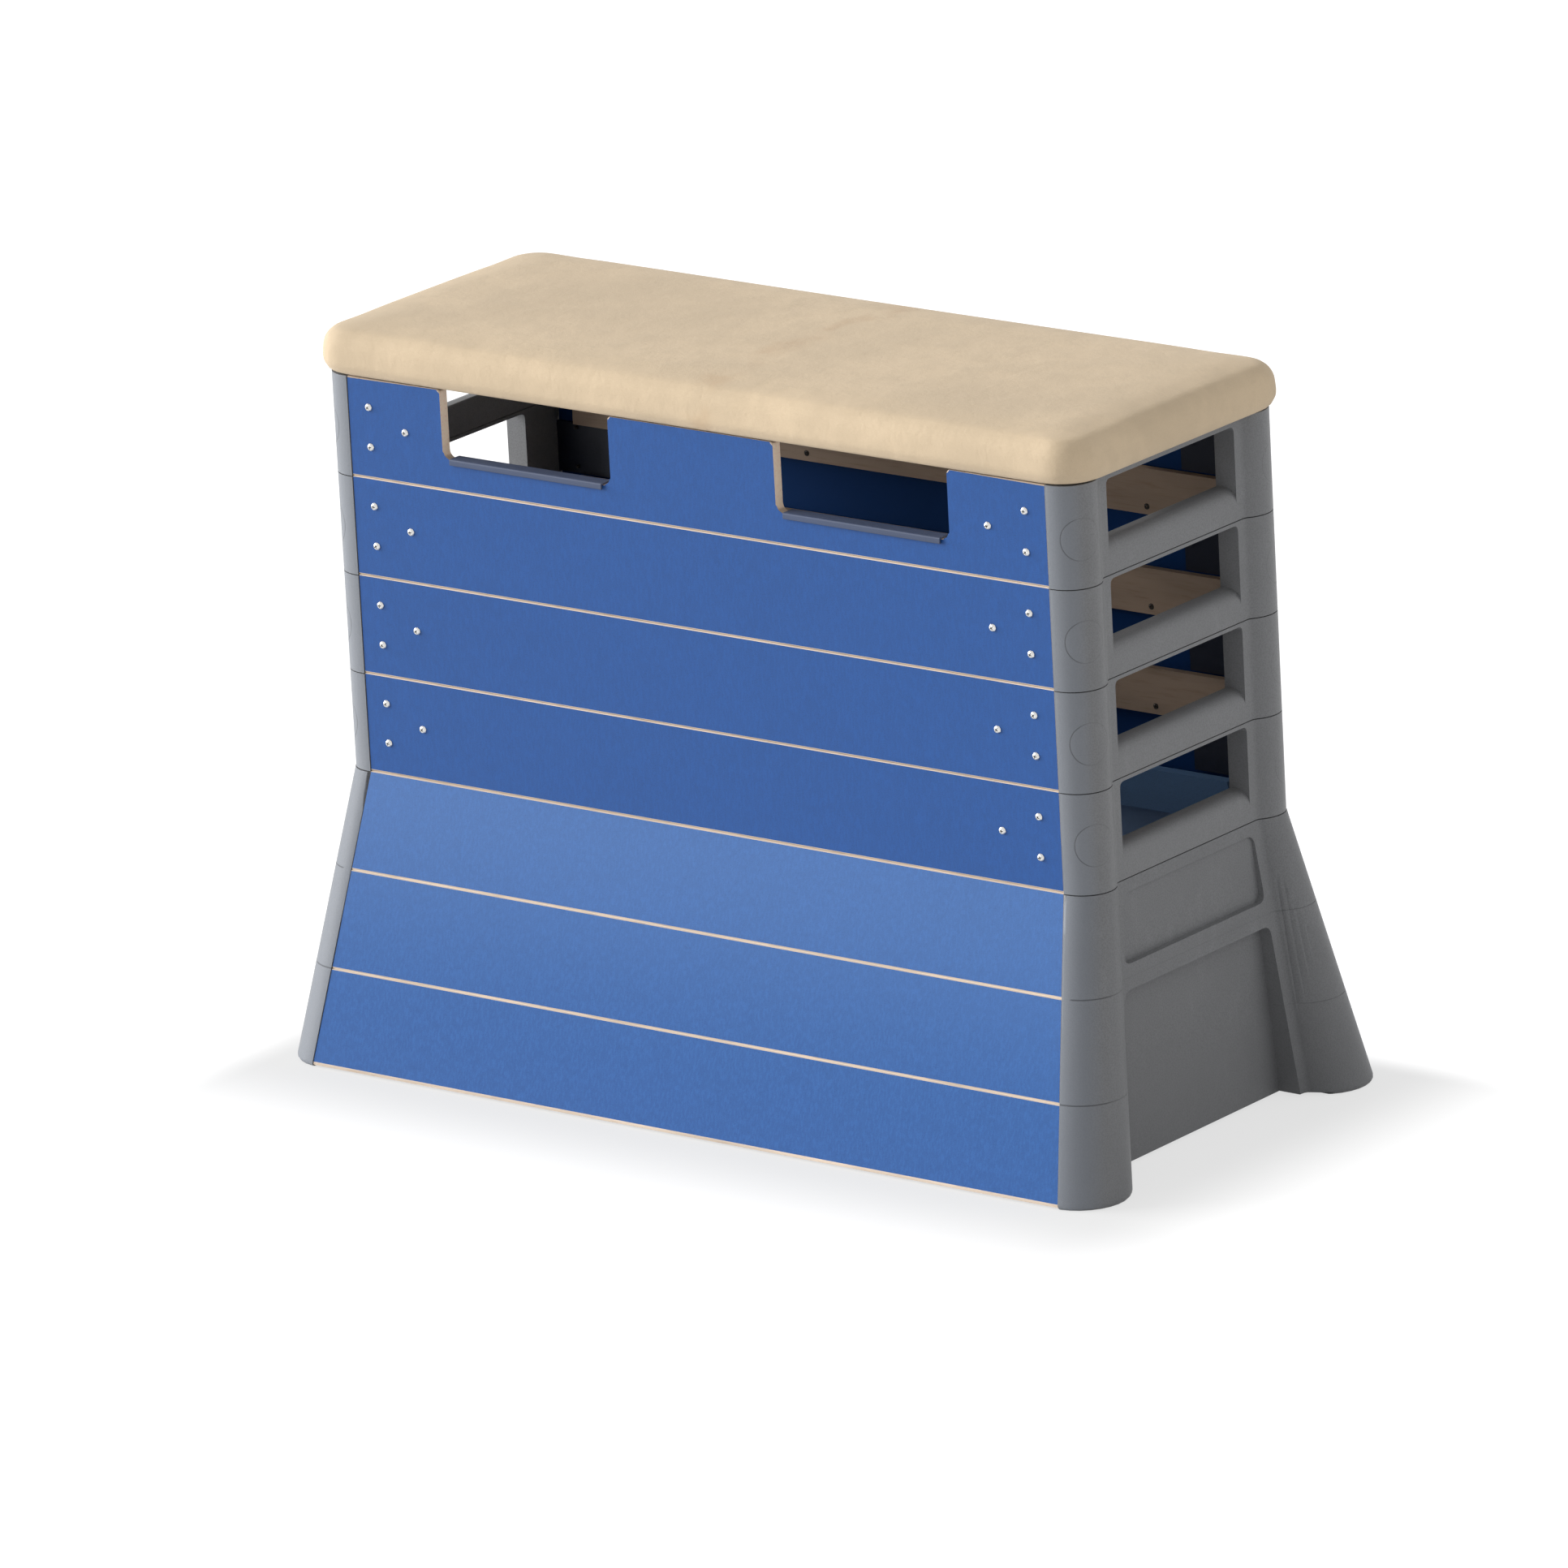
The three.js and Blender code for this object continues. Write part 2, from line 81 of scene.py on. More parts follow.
# Small moves that bring the frame's surfaces to where the photograph has them, in metres and shares
PANEL_SINK = 0.001
FRAME_SINK = 0.0028
FRAME_DROP = 0.0017
TOP_RAIL = 0.004
TOP_RAIL_REACH = 0.03
GROOVE_SHARE = 0.6
GROOVE_REACH = 0.004
FOOT_EDGE = 0.0045
FOOT_EDGE_DEPTH = 0.0014
RECESS_DEEPER = 0.006
LOWER_RECESS_CORNER = 0.017

# Heights of the base's recesses below its top: the frame's, then the photograph's
RECESS_TOPS = (0.017, 0.0213)
RECESS_BOTTOMS = (0.112, 0.1248)
LOWER_RECESS_TOPS = (0.150, 0.162)

# Rounded edges and moulded marks, in metres but for the turn; the marks fade in over the column's front
EDGE_ROUND = 0.0019
LIP_ROUND = 0.0006
FRAME_ROUND = 0.0015
STRIP_ROUND = 0.0009
PLY_LAYER = 0.0014
CIRCLE_RADIUS = 0.031
CIRCLE_TURN = math.radians(60)
CIRCLE_RISE = 0.0705
CIRCLE_LINE = 0.001
GROOVE_LINE = 0.0011
COLUMN_FRONT = (0.660, 0.6655)

# Base columns: level cuts, the step that gives a cone's lean, and how far off it a point may be
COLUMN_CUTS = 14
COLUMN_STEP = 0.01
COLUMN_END_SLACK = 0.0005
SETTLE_SLACK = 0.0025
SPLIT_SLACK = 0.0003
NORMAL_SLACK = 0.0006
LONGEST_SPLIT = 0.03

# Screws: each head's radius and height, each shank's radius and length, the rings and cross of a head
PANEL_HEAD = (0.0059, 0.0032)
PANEL_SHANK = (0.0029, 0.029)
GUIDE_HEAD = (0.0038, 0.0009)
GUIDE_SHANK = (0.002, 0.012)
HEAD_RINGS = (0.0008, 0.0016, 0.0024)
HEAD_OUTER_RINGS = (0.0038, 0.0047)
DOME_POWER = 2.6
CROSS_REACH = 0.0031
CROSS_HALF = 0.0007
CROSS_DEPTH = 0.0017
CROSS_SLACK = 0.0002

# Screw places: distance from the section's middle and height over its foot, then along the batten
SCREW_PLACES = {"upper": (0.593, 0.107), "middle": (0.527, 0.0769), "lower": (0.593, 0.0468)}
GUIDE_SCREW_PLACES = (-0.461, -0.154, 0.154, 0.461)
GUIDE_SCREW_DROP = 0.023

# Pad: its even squares, its filling by cloth simulation and its drawn-in lower edge
PAD_VOXEL = 0.006
PAD_SHRINK = 0.003
PAD_HELD = 0.006
PAD_PRESSURE = 4
PAD_FRAMES = 20
PAD_CAP = 0.006
PAD_EVENING = 60
PAD_CURL = 0.63
PAD_CURL_RISE = 0.028
PAD_DECK_REACH = 0.003

# Angles in degrees from which an edge is rounded or kept sharp, and up to which facets are joined
LIP_ANGLE = 20
ROUNDED_ANGLE = 35
PIECE_SHARP_ANGLE = 40
SCREW_SHARP_ANGLE = 35
JOINED_ANGLE = 12
FLAT_ANGLE = 1

# Distances under which two places count as one, in metres
NEAR = 0.001
LEVEL = 0.0001
CUT_SLACK = 0.00001
SHORTEST_STEP = 0.000001
WELD = 0.00002

# Floor and light
FLOOR_HALF = 60.0
FLOOR_GLOW = 0.68
FLOOR_FADE = 0.34
FLOOR_END_FADES = (-3.0, 1.2)
FLOOR_SIDE_FADES = (-1.0, 4.0)
FLOOR_SHADOW = 0.18
FLOOR_LIT = 0.8
AMBIENT = 0.53

# Camera, fitted to the photograph: degrees, metres and the photograph's pixels
CAMERA_AZIMUTH = 38.273
CAMERA_ELEVATION = 16.904
CAMERA_ROLL = -3.056
CAMERA_DISTANCE = 21.2425
CAMERA_ASIDE = -0.04677
CAMERA_ABOVE = 0.00413
FOCAL_PIXELS = 18018.35
PHOTO_PIXELS = 1932
SENSOR_WIDTH = 36

BODY_TOP = BASE_HEIGHT + len(SECTIONS) * PITCH
SLOPE = math.atan2(PANEL_SPREAD, BASE_HEIGHT)
PANEL_FACE = HALF_WIDTH - PANEL_SINK

# Finishes, as colours in sRGB 0 to 255: the real surface's, but for the painted light and shade marked
# below
BLUE = (25, 75, 140)
BASE_BLUE = (50, 95, 156)
# BASE_LOW_BLUE is painted shade: the base's blue darker towards the floor
BASE_LOW_BLUE = (44, 85, 146)
# INNER_BLUE is painted shade and BASE_INNER_BLUE painted light, on the panels' faces that look into the box
INNER_BLUE = (20, 56, 108)
BASE_INNER_BLUE = (150, 178, 214)
# GUIDE_BLUE is the guides' blue film, lightened as painted light
GUIDE_BLUE = (112, 150, 196)
PLY_LIGHT = (219, 200, 180)
PLY_DARK = (166, 140, 112)
GREY = (118, 119, 121)
BASE_GREY = (124, 125, 127)
# The grey below is a painted bluish sheen on faces that look out of the box
OUTWARD_SHEEN_GREY = (126, 131, 139)
# The grey below is painted shade on the flanges inside the box
INSIDE_SHADE_GREY = (26, 32, 48)
RUBBER = (54, 66, 92)
SUEDE = (205, 184, 154)
ZINC = (236, 235, 232)
DARK_STEEL = (58, 55, 52)
STAIN = (188, 158, 124)


def linear(colour):
    """An sRGB colour of 0 to 255 as the linear red, green, blue and alpha that Blender wants."""
    parts = [c / 255 for c in colour]
    parts = [c / 12.92 if c <= 0.04045 else ((c + 0.055) / 1.055) ** 2.4 for c in parts]
    return (*parts, 1.0)


def shade(colour, share):
    return tuple(c * share for c in colour)


class Look:
    """A material's node tree, with a short call for each kind of node."""

    def __init__(self, name, roughness=0.5):
        self.material = bpy.data.materials.new(name)
        self.material.use_nodes = True
        self.nodes = self.material.node_tree.nodes
        self.links = self.material.node_tree.links
        self.shader = self.nodes["Principled BSDF"]
        self.shader.inputs["Roughness"].default_value = roughness
        place = self.nodes.new("ShaderNodeTexCoord")
        self.place = place.outputs["Object"]
        self.normal = place.outputs["Normal"]
        self.x, self.y, self.z = self.split(self.place)

    def put(self, value, socket):
        if isinstance(value, bpy.types.NodeSocket):
            self.links.new(value, socket)
        else:
            socket.default_value = value

    def split(self, vector):
        node = self.nodes.new("ShaderNodeSeparateXYZ")
        self.put(vector, node.inputs[0])
        return node.outputs

    def math(self, operation, *values):
        node = self.nodes.new("ShaderNodeMath")
        node.operation = operation
        for value, socket in zip(values, node.inputs):
            self.put(value, socket)
        return node.outputs[0]

    def fade(self, value, low, high):
        """0 up to low, 1 from high on, and smooth between; low may be the larger."""
        node = self.nodes.new("ShaderNodeMapRange")
        node.interpolation_type = "SMOOTHSTEP"
        self.put(value, node.inputs["Value"])
        node.inputs["From Min"].default_value = low
        node.inputs["From Max"].default_value = high
        return node.outputs["Result"]

    def part(self, share, value, low, high):
        """The fade, times a share."""
        return self.math("MULTIPLY", self.fade(value, low, high), share)

    def outward(self):
        """How squarely a face looks out of the box across its width: 1 straight out, -1 straight in."""
        return self.math("MULTIPLY", self.split(self.normal)[1], self.math("SIGN", self.y))

    def stretched(self, scale):
        node = self.nodes.new("ShaderNodeMapping")
        self.put(self.place, node.inputs["Vector"])
        node.inputs["Scale"].default_value = scale
        return node.outputs[0]

    def noise(self, size, detail=2.0, stretch=(1, 1, 1), distortion=0.0):
        """Noise of 0 to 1 whose blobs are about as large as size, in metres."""
        node = self.nodes.new("ShaderNodeTexNoise")
        self.put(self.stretched(stretch), node.inputs["Vector"])
        node.inputs["Scale"].default_value = 1 / size
        node.inputs["Detail"].default_value = detail
        node.inputs["Distortion"].default_value = distortion
        return node.outputs["Fac"]

    def mix(self, factor, first, second):
        node = self.nodes.new("ShaderNodeMix")
        node.data_type = "RGBA"
        self.put(factor, node.inputs[0])
        for value, socket in ((first, node.inputs[6]), (second, node.inputs[7])):
            self.put(linear(value) if isinstance(value, tuple) else value, socket)
        return node.outputs[2]

    def bump(self, height, depth, under=None):
        node = self.nodes.new("ShaderNodeBump")
        node.inputs["Distance"].default_value = depth
        self.put(height, node.inputs["Height"])
        if under is not None:
            self.put(under, node.inputs["Normal"])
        return node.outputs[0]

    def wear(self, colour, roughness, normal, gloss=0.5, **settings):
        """Puts the finished sockets and plain settings on the shader and returns the material."""
        shader = {s.name.lower().replace(" ", "_"): s for s in self.shader.inputs}
        self.put(colour, shader["base_color"])
        self.put(roughness, shader["roughness"])
        self.put(normal, shader["normal"])
        self.put(gloss, shader["specular_ior_level"])
        for name, value in settings.items():
            shader[name].default_value = value
        return self.material


# Materials
def laminate(name, colour, low_colour, inner_colour, gloss, low_gloss):
    """Coloured film with clouds, upright streaks and fine specks.

    It turns to low_colour and low_gloss near the floor, a painted shade, and to inner_colour where it looks
    into the box: painted shade in the upper panels, painted light in the base.
    """
    look = Look(name)
    clouds = look.noise(0.25, 2)
    blots = look.noise(0.017, 3)
    streaks = look.noise(0.0035, 2, (1, 1, 0.3))
    grain = look.noise(0.0016, 2)
    # Painted shade: darker towards the floor
    sunk = look.mix(look.fade(look.z, 0.4, 0.02), colour, low_colour)
    cloudy = look.mix(look.math("MULTIPLY", clouds, 0.5), sunk, shade(colour, 0.9))
    blotted = look.mix(look.math("MULTIPLY", blots, 0.3), cloudy, shade(colour, 1.15))
    streaked = look.mix(look.part(0.22, streaks, 0.4, 0.7), blotted, shade(colour, 1.22))
    spotted = look.mix(look.part(0.35, grain, 0.45, 0.75), streaked, shade(colour, 0.76))
    # Painted shade, on the base painted light: faces that look into the box take the inner colour
    turned_in = look.fade(look.outward(), -0.3, -0.8)
    painted_inside = look.mix(turned_in, spotted, inner_colour)
    roughness = look.math("MULTIPLY_ADD", blots, 0.14, 0.36)
    outer_gloss = look.math("MULTIPLY_ADD", look.fade(look.z, 0.42, 0.08), low_gloss - gloss, gloss)
    shine = look.math("MULTIPLY", outer_gloss, look.math("MULTIPLY_ADD", turned_in, -0.8, 1.0))
    return look.wear(painted_inside, roughness, look.bump(grain, 0.0001), shine)


def film(name, colour):
    """Matte worn film on the base's battens, in a blue lightened as painted light."""
    look = Look(name)
    clouds = look.noise(0.06, 3, (0.3, 1, 1))
    grain = look.noise(0.0016, 2)
    cloudy = look.mix(clouds, shade(colour, 0.86), shade(colour, 1.08))
    worn = look.mix(look.part(0.4, grain, 0.45, 0.75), cloudy, shade(colour, 0.8))
    return look.wear(worn, look.math("MULTIPLY_ADD", clouds, 0.2, 0.5), look.bump(grain, 0.0001), 0.2)


def ply(name, leaning=False, tint=(1, 1, 1)):
    """Birch plywood: layers on its cut edges, paler cut ends, and long grain on its faces."""
    look = Look(name, 0.7)
    light = tuple(c * t for c, t in zip(PLY_LIGHT, tint))
    dark = tuple(c * t for c, t in zip(PLY_DARK, tint))
    side = look.math("ABSOLUTE", look.y)
    if leaning:
        side = look.math("MULTIPLY_ADD", look.z, PANEL_SPREAD / BASE_HEIGHT, side)
    layers = look.math("MULTIPLY", side, math.cos(SLOPE) / PLY_LAYER if leaning else 1 / PLY_LAYER)
    wavy = look.math("ADD", layers, look.noise(0.03, 2, (0.2, 1, 1)))
    stripe = look.math("PINGPONG", wavy, 1.0)
    layered = look.mix(look.fade(stripe, 0.25, 0.75), light, shade(light, 0.86))
    ends = look.fade(look.math("ABSOLUTE", look.split(look.normal)[0]), 0.7, 0.95)
    cut = look.mix(ends, layered, shade(light, 1.2))
    fibre = look.noise(0.004, 4, (0.08, 1, 1), 0.3)
    figure = look.noise(0.05, 2, (0.15, 1, 1), 0.6)
    grained = look.mix(look.fade(figure, 0.3, 0.7), shade(light, 0.92), shade(light, 1.03))
    across = look.fade(look.math("ABSOLUTE", look.split(look.normal)[1]), 0.9, 0.97)
    bare = look.mix(across, cut, grained)
    streaked = look.mix(look.part(0.4, fibre, 0.5, 0.8), bare, dark)
    return look.wear(streaked, look.math("MULTIPLY_ADD", fibre, 0.2, 0.55), look.bump(fibre, 0.0002))


def line(look, distance, width):
    """1 where the distance is under half the width, fading to 0 at the width."""
    return look.fade(look.math("ABSOLUTE", distance), width, width / 2)


def plastic(name, colour, marks, gloss):
    """Moulded plastic with a fine grain, painted dark inside the box as shade; marks draws the moulded
    lines as painted shade with a bump.
    """
    look = Look(name)
    grain = look.noise(0.0021, 3)
    fine = look.noise(0.0008, 2)
    clouds = look.noise(0.09, 3)
    rubbed = look.noise(0.02, 4, (1, 1, 0.4))
    cloudy = look.mix(clouds, shade(colour, 0.95), shade(colour, 1.05))
    worn = look.mix(look.part(0.3, rubbed, 0.5, 0.85), cloudy, shade(colour, 1.14))
    grained = look.mix(look.part(0.5, grain, 0.42, 0.62), worn, shade(colour, 0.86))
    # Painted shade: the flanges inside the box in a dark colour
    inside = look.fade(look.math("ABSOLUTE", look.x), FRAME_INNER_X - 0.0002, FRAME_INNER_X - 0.0012)
    # Painted shade: darker towards the floor
    dust_and_low_shade = look.mix(look.part(0.4, look.z, 0.3, 0.03), grained, shade(colour, 0.93))
    # Painted sheen: a lighter bluish grey on faces that look out of the box
    outward_sheen = look.mix(look.part(0.7, look.outward(), 0.35, 0.85), dust_and_low_shade, OUTWARD_SHEEN_GREY)
    hollow = look.mix(inside, outward_sheen, INSIDE_SHADE_GREY)
    lines = marks(look)
    # Painted shade: the moulded lines drawn darker, besides their bump
    lines_shaded = look.mix(look.math("MULTIPLY", lines, 0.6), hollow, shade(colour, 0.45))
    roughness = look.math("MULTIPLY_ADD", clouds, 0.12, 0.4)
    under = look.bump(look.math("SUBTRACT", 1.0, lines), 0.0004)
    return look.wear(lines_shaded, roughness, look.bump(fine, 0.0001, look.bump(grain, 0.00025, under)), gloss)


def circle_marks(look):
    """A thin moulded circle on each corner column, drawn as a painted shade line that is darkest on the
    long panel's side.
    """
    across = look.math("SUBTRACT", look.math("ABSOLUTE", look.x), COLUMN_X - COLUMN_RADIUS)
    along = look.math("SUBTRACT", look.math("ABSOLUTE", look.y), HALF_WIDTH - COLUMN_RADIUS)
    turned = look.math("SUBTRACT", look.math("ARCTAN2", across, along), CIRCLE_TURN)
    aside = look.math("MULTIPLY", turned, COLUMN_RADIUS)
    risen = look.math("MODULO", look.math("SUBTRACT", look.z, BASE_HEIGHT), PITCH)
    lifted = look.math("SUBTRACT", risen, CIRCLE_RISE)
    squares = look.math("ADD", look.math("POWER", aside, 2.0), look.math("POWER", lifted, 2.0))
    ring = line(look, look.math("SUBTRACT", look.math("SQRT", squares), CIRCLE_RADIUS), CIRCLE_LINE)
    strength = look.math("MULTIPLY_ADD", look.fade(aside, 0.0, -0.022), 0.6, 0.25)
    outside = look.fade(across, 0.004, 0.010)
    return look.math("MULTIPLY", look.math("MULTIPLY", ring, strength), outside)


def groove_marks(look):
    """Thin lines round the columns that carry on the panels' grooves, drawn as painted shade, faint beyond
    the column.
    """
    lines = [
        line(look, look.math("SUBTRACT", look.z, BASE_HEIGHT - i * GROOVE_PITCH), GROOVE_LINE)
        for i in (1, 2)
    ]
    spread = look.math("MULTIPLY_ADD", look.z, -PANEL_SPREAD / BASE_HEIGHT, HALF_WIDTH + PANEL_SPREAD)
    behind = look.math("SUBTRACT", spread, look.math("ABSOLUTE", look.y))
    near = look.math("MULTIPLY_ADD", look.fade(behind, 0.06, 0.03), 0.5, 0.15)
    strength = look.math("MULTIPLY_ADD", look.fade(behind, 0.115, 0.095), 0.3, near)
    proud = look.fade(look.math("ABSOLUTE", look.x), *COLUMN_FRONT)
    return look.math("MULTIPLY", look.math("MULTIPLY", look.math("MAXIMUM", *lines), strength), proud)


def rubber():
    look = Look("grip_rubber")
    grain = look.noise(0.0012, 3)
    clouds = look.noise(0.04, 2, (0.3, 1, 1))
    cloudy = look.mix(clouds, shade(RUBBER, 0.9), shade(RUBBER, 1.12))
    dust_and_low_shade = look.mix(look.part(0.3, grain, 0.5, 0.8), cloudy, shade(RUBBER, 1.4))
    return look.wear(dust_and_low_shade, look.math("MULTIPLY_ADD", grain, 0.2, 0.5), look.bump(grain, 0.00015))


def suede():
    """Brushed synthetic suede with soft blotches and one faint mark across the middle."""
    look = Look("beige_suede", 0.9)
    clouds = look.noise(0.2, 3, (1, 1, 1), 0.4)
    patches = look.noise(0.035, 3)
    nap = look.noise(0.0011, 3)
    leather = look.noise(0.006, 3)
    cloudy = look.mix(look.fade(clouds, 0.3, 0.7), shade(SUEDE, 0.97), shade(SUEDE, 1.03))
    patched = look.mix(look.part(0.5, patches, 0.4, 0.7), cloudy, shade(SUEDE, 0.965))
    wander = look.math("MULTIPLY", look.math("SUBTRACT", look.noise(0.09, 2), 0.5), 0.09)
    middle = look.math("ADD", look.math("SUBTRACT", look.x, 0.028), wander)
    streak = look.fade(look.math("ABSOLUTE", middle), 0.036, 0.004)
    broken = look.math("MULTIPLY", streak, look.fade(look.noise(0.06, 2), 0.36, 0.62))
    marked = look.mix(look.math("MULTIPLY", broken, 0.42), patched, STAIN)
    napped = look.mix(look.part(0.35, nap, 0.4, 0.8), marked, shade(SUEDE, 0.9))
    soft = look.bump(leather, 0.0004, look.bump(patches, 0.0012))
    return look.wear(
        napped,
        look.math("MULTIPLY_ADD", patches, 0.1, 0.8),
        look.bump(nap, 0.00025, soft),
        sheen_weight=0.08,
        sheen_roughness=0.5,
    )


def steel(name, colour, roughness, metallic=1.0):
    look = Look(name)
    brushed = look.noise(0.0009, 3)
    tone = look.mix(brushed, shade(colour, 0.85), colour)
    rough = look.math("MULTIPLY_ADD", brushed, 0.25, roughness - 0.1)
    return look.wear(tone, rough, look.bump(brushed, 0.00003), metallic=metallic)


BLUE_LAMINATE = laminate("blue_laminate", BLUE, BLUE, INNER_BLUE, gloss=0.35, low_gloss=0.35)
BASE_LAMINATE = laminate(
    "base_laminate", BASE_BLUE, BASE_LOW_BLUE, BASE_INNER_BLUE, gloss=0.27, low_gloss=0.14
)
GUIDE_LAMINATE = film("base_guide_laminate", GUIDE_BLUE)
PLYWOOD = ply("birch_ply")
LEANING_PLY = ply("birch_ply_leaning", leaning=True)
# The battens' ply is darker than the panels', a painted shade, and yellower, its own tone
BATTEN_PLY = ply("birch_ply_batten", tint=(0.8, 0.76, 0.73))
UPPER_PLASTIC = plastic("grey_plastic_upper", GREY, circle_marks, gloss=0.35)
BASE_PLASTIC = plastic("grey_plastic_base", BASE_GREY, groove_marks, gloss=0.12)
GRIP_RUBBER = rubber()
BEIGE_SUEDE = suede()
ZINC_STEEL = steel("zinc_steel", ZINC, roughness=0.3)
# Pale, nearly matte zinc on the shank tips inside the box: a painted glint
TIP_GLINT_ZINC = steel("dull_zinc", ZINC, roughness=0.5, metallic=0.2)
# Dark steel: the guide screws' own finish, and painted shade in the panel screws' cross recesses
DARK_STEEL_AND_RECESS_SHADE = steel("dark_screw_steel", DARK_STEEL, roughness=0.45, metallic=0.6)


# Meshes
def mesh_from(bm, name, *materials):
    """The bmesh as a new mesh with these materials."""
    mesh = bpy.data.meshes.new(name)
    bm.to_mesh(mesh)
    bm.free()
    for material in materials:
        mesh.materials.append(material)
    return mesh


def smooth_mesh(bm, name, sharp_from, *materials):
    """The bmesh as a new mesh, smooth but for edges that turn by more than sharp_from degrees."""
    bmesh.ops.recalc_face_normals(bm, faces=bm.faces)
    mesh = mesh_from(bm, name, *materials)
    mesh.shade_smooth()
    mesh.set_sharp_from_angle(angle=math.radians(sharp_from))
    return mesh


def put_in_scene(name, data):
    thing = bpy.data.objects.new(name, data)
    bpy.context.scene.collection.objects.link(thing)
    return thing


def piece(name, bm, body, slot, *materials):
    """A named object of the bmesh that rides on a body, in the given materials; slot is not used."""
    thing = put_in_scene(name, smooth_mesh(bm, name, PIECE_SHARP_ANGLE, *materials))
    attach(thing, body)
    return thing


def weigh_normals(thing):
    modifier = thing.modifiers.new("even_normals", "WEIGHTED_NORMAL")
    modifier.keep_sharp = True


def apply_modifiers(thing):
    """Bakes the modifiers' result into the object's own mesh."""
    graph = bpy.context.evaluated_depsgraph_get()
    mesh = bpy.data.meshes.new_from_object(thing.evaluated_get(graph))
    thing.modifiers.clear()
    thing.data = mesh


def cad_bmesh(node):
    """The node's mesh, welded, with flat areas as single faces."""
    bm = bmesh.new()
    bm.from_mesh(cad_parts[node].data)
    bmesh.ops.remove_doubles(bm, verts=bm.verts, dist=WELD)
    bmesh.ops.dissolve_limit(bm, angle_limit=math.radians(FLAT_ANGLE), verts=bm.verts, edges=bm.edges)
    return bm


def bevel(bm, edges, width, segments=3):
    bmesh.ops.bevel(
        bm, geom=edges, offset=width, segments=segments, profile=0.5, affect="EDGES", clamp_overlap=True
    )


def sharp_edges(bm, degrees, wanted=lambda edge: True):
    limit = math.radians(degrees)
    return [e for e in bm.edges if len(e.link_faces) == 2 and e.calc_face_angle() > limit and wanted(e)]


def arc(x, z, radius, start, end, steps):
    angles = [math.radians(start + (end - start) * i / steps) for i in range(steps + 1)]
    return [(x + radius * math.cos(a), z + radius * math.sin(a)) for a in angles]


# Upper panels
def notch_outline(centre, low, top):
    """The notch's edge from right to left, starting and ending on the panel's top edge."""
    left = centre - NOTCH_WIDTH / 2
    right = centre + NOTCH_WIDTH / 2
    floor = low + NOTCH_FLOOR + NOTCH_RADIUS
    return [
        *arc(right + NOTCH_LIP, top - NOTCH_LIP, NOTCH_LIP, 90, 180, 5),
        *arc(right - NOTCH_RADIUS, floor, NOTCH_RADIUS, 0, -90, 7),
        *arc(left + NOTCH_RADIUS, floor, NOTCH_RADIUS, -90, -180, 7),
        *arc(left - NOTCH_LIP, top - NOTCH_LIP, NOTCH_LIP, 0, 90, 5),
    ]


def upper_panel(section, side, turn):
    """Plywood with laminate on both faces, a rounded outer edge, and bare wood at its edges and notches."""
    low = BASE_HEIGHT + SECTIONS.index(section) * PITCH
    top = low + PITCH
    outline = [(-HALF_LENGTH, low + SEAT_GAP), (HALF_LENGTH, low + SEAT_GAP), (HALF_LENGTH, top)]
    if section == "top":
        outline += notch_outline(NOTCH_CENTRE, low, top)
        outline += notch_outline(-NOTCH_CENTRE, low, top)
    outline.append((-HALF_LENGTH, top))
    bm = bmesh.new()
    front = [bm.verts.new((x, -PANEL_FACE, z)) for x, z in outline]
    back = [bm.verts.new((x, -HALF_WIDTH + PANEL_THICKNESS, z)) for x, z in outline]
    bm.faces.new(front)
    bm.faces.new(back[::-1])
    for i in range(len(outline)):
        j = (i + 1) % len(outline)
        bm.faces.new((front[j], front[i], back[i], back[j]))
    rim = [
        e
        for e in bm.edges
        if all(v.co.y < NEAR - PANEL_FACE for v in e.verts)
        and abs(e.verts[0].co.x + e.verts[1].co.x) < 2 * HALF_LENGTH - NEAR
    ]
    bevel(bm, rim, EDGE_ROUND)
    bm.normal_update()
    for face in bm.faces:
        face.material_index = 0 if abs(face.normal.y) > 0.999 else 1
    bm.transform(Matrix.Rotation(turn, 4, "Z"))
    node = f"{section}_panel_{side}"
    panel = piece(f"{node}_laminated", bm, f"{section}_section", "blue_laminate", BLUE_LAMINATE, PLYWOOD)
    weigh_normals(panel)
    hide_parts(node)


def narrow_grooves(bm):
    """Draws each groove's lips together, and makes the wood that shows at the foot tall and shallow."""
    slope = PANEL_SPREAD / BASE_HEIGHT
    for vertex in bm.verts:
        outer = HALF_WIDTH + slope * (BASE_HEIGHT - vertex.co.z)
        depth = outer - abs(vertex.co.y)
        if depth > GROOVE_REACH:
            continue
        z = vertex.co.z
        for middle in (BASE_HEIGHT, BASE_HEIGHT - GROOVE_PITCH, BASE_HEIGHT - 2 * GROOVE_PITCH):
            if abs(z - middle) < GROOVE_REACH:
                z = middle + (z - middle) * GROOVE_SHARE
                depth *= GROOVE_SHARE
        if PANEL_RISE + NEAR < z < PANEL_RISE + GROOVE_REACH:
            z = PANEL_RISE + FOOT_EDGE
        elif z < PANEL_RISE + NEAR:
            depth = FOOT_EDGE_DEPTH
        vertex.co.y = math.copysign(PANEL_FACE + slope * (BASE_HEIGHT - z) - depth, vertex.co.y)
        vertex.co.z = z


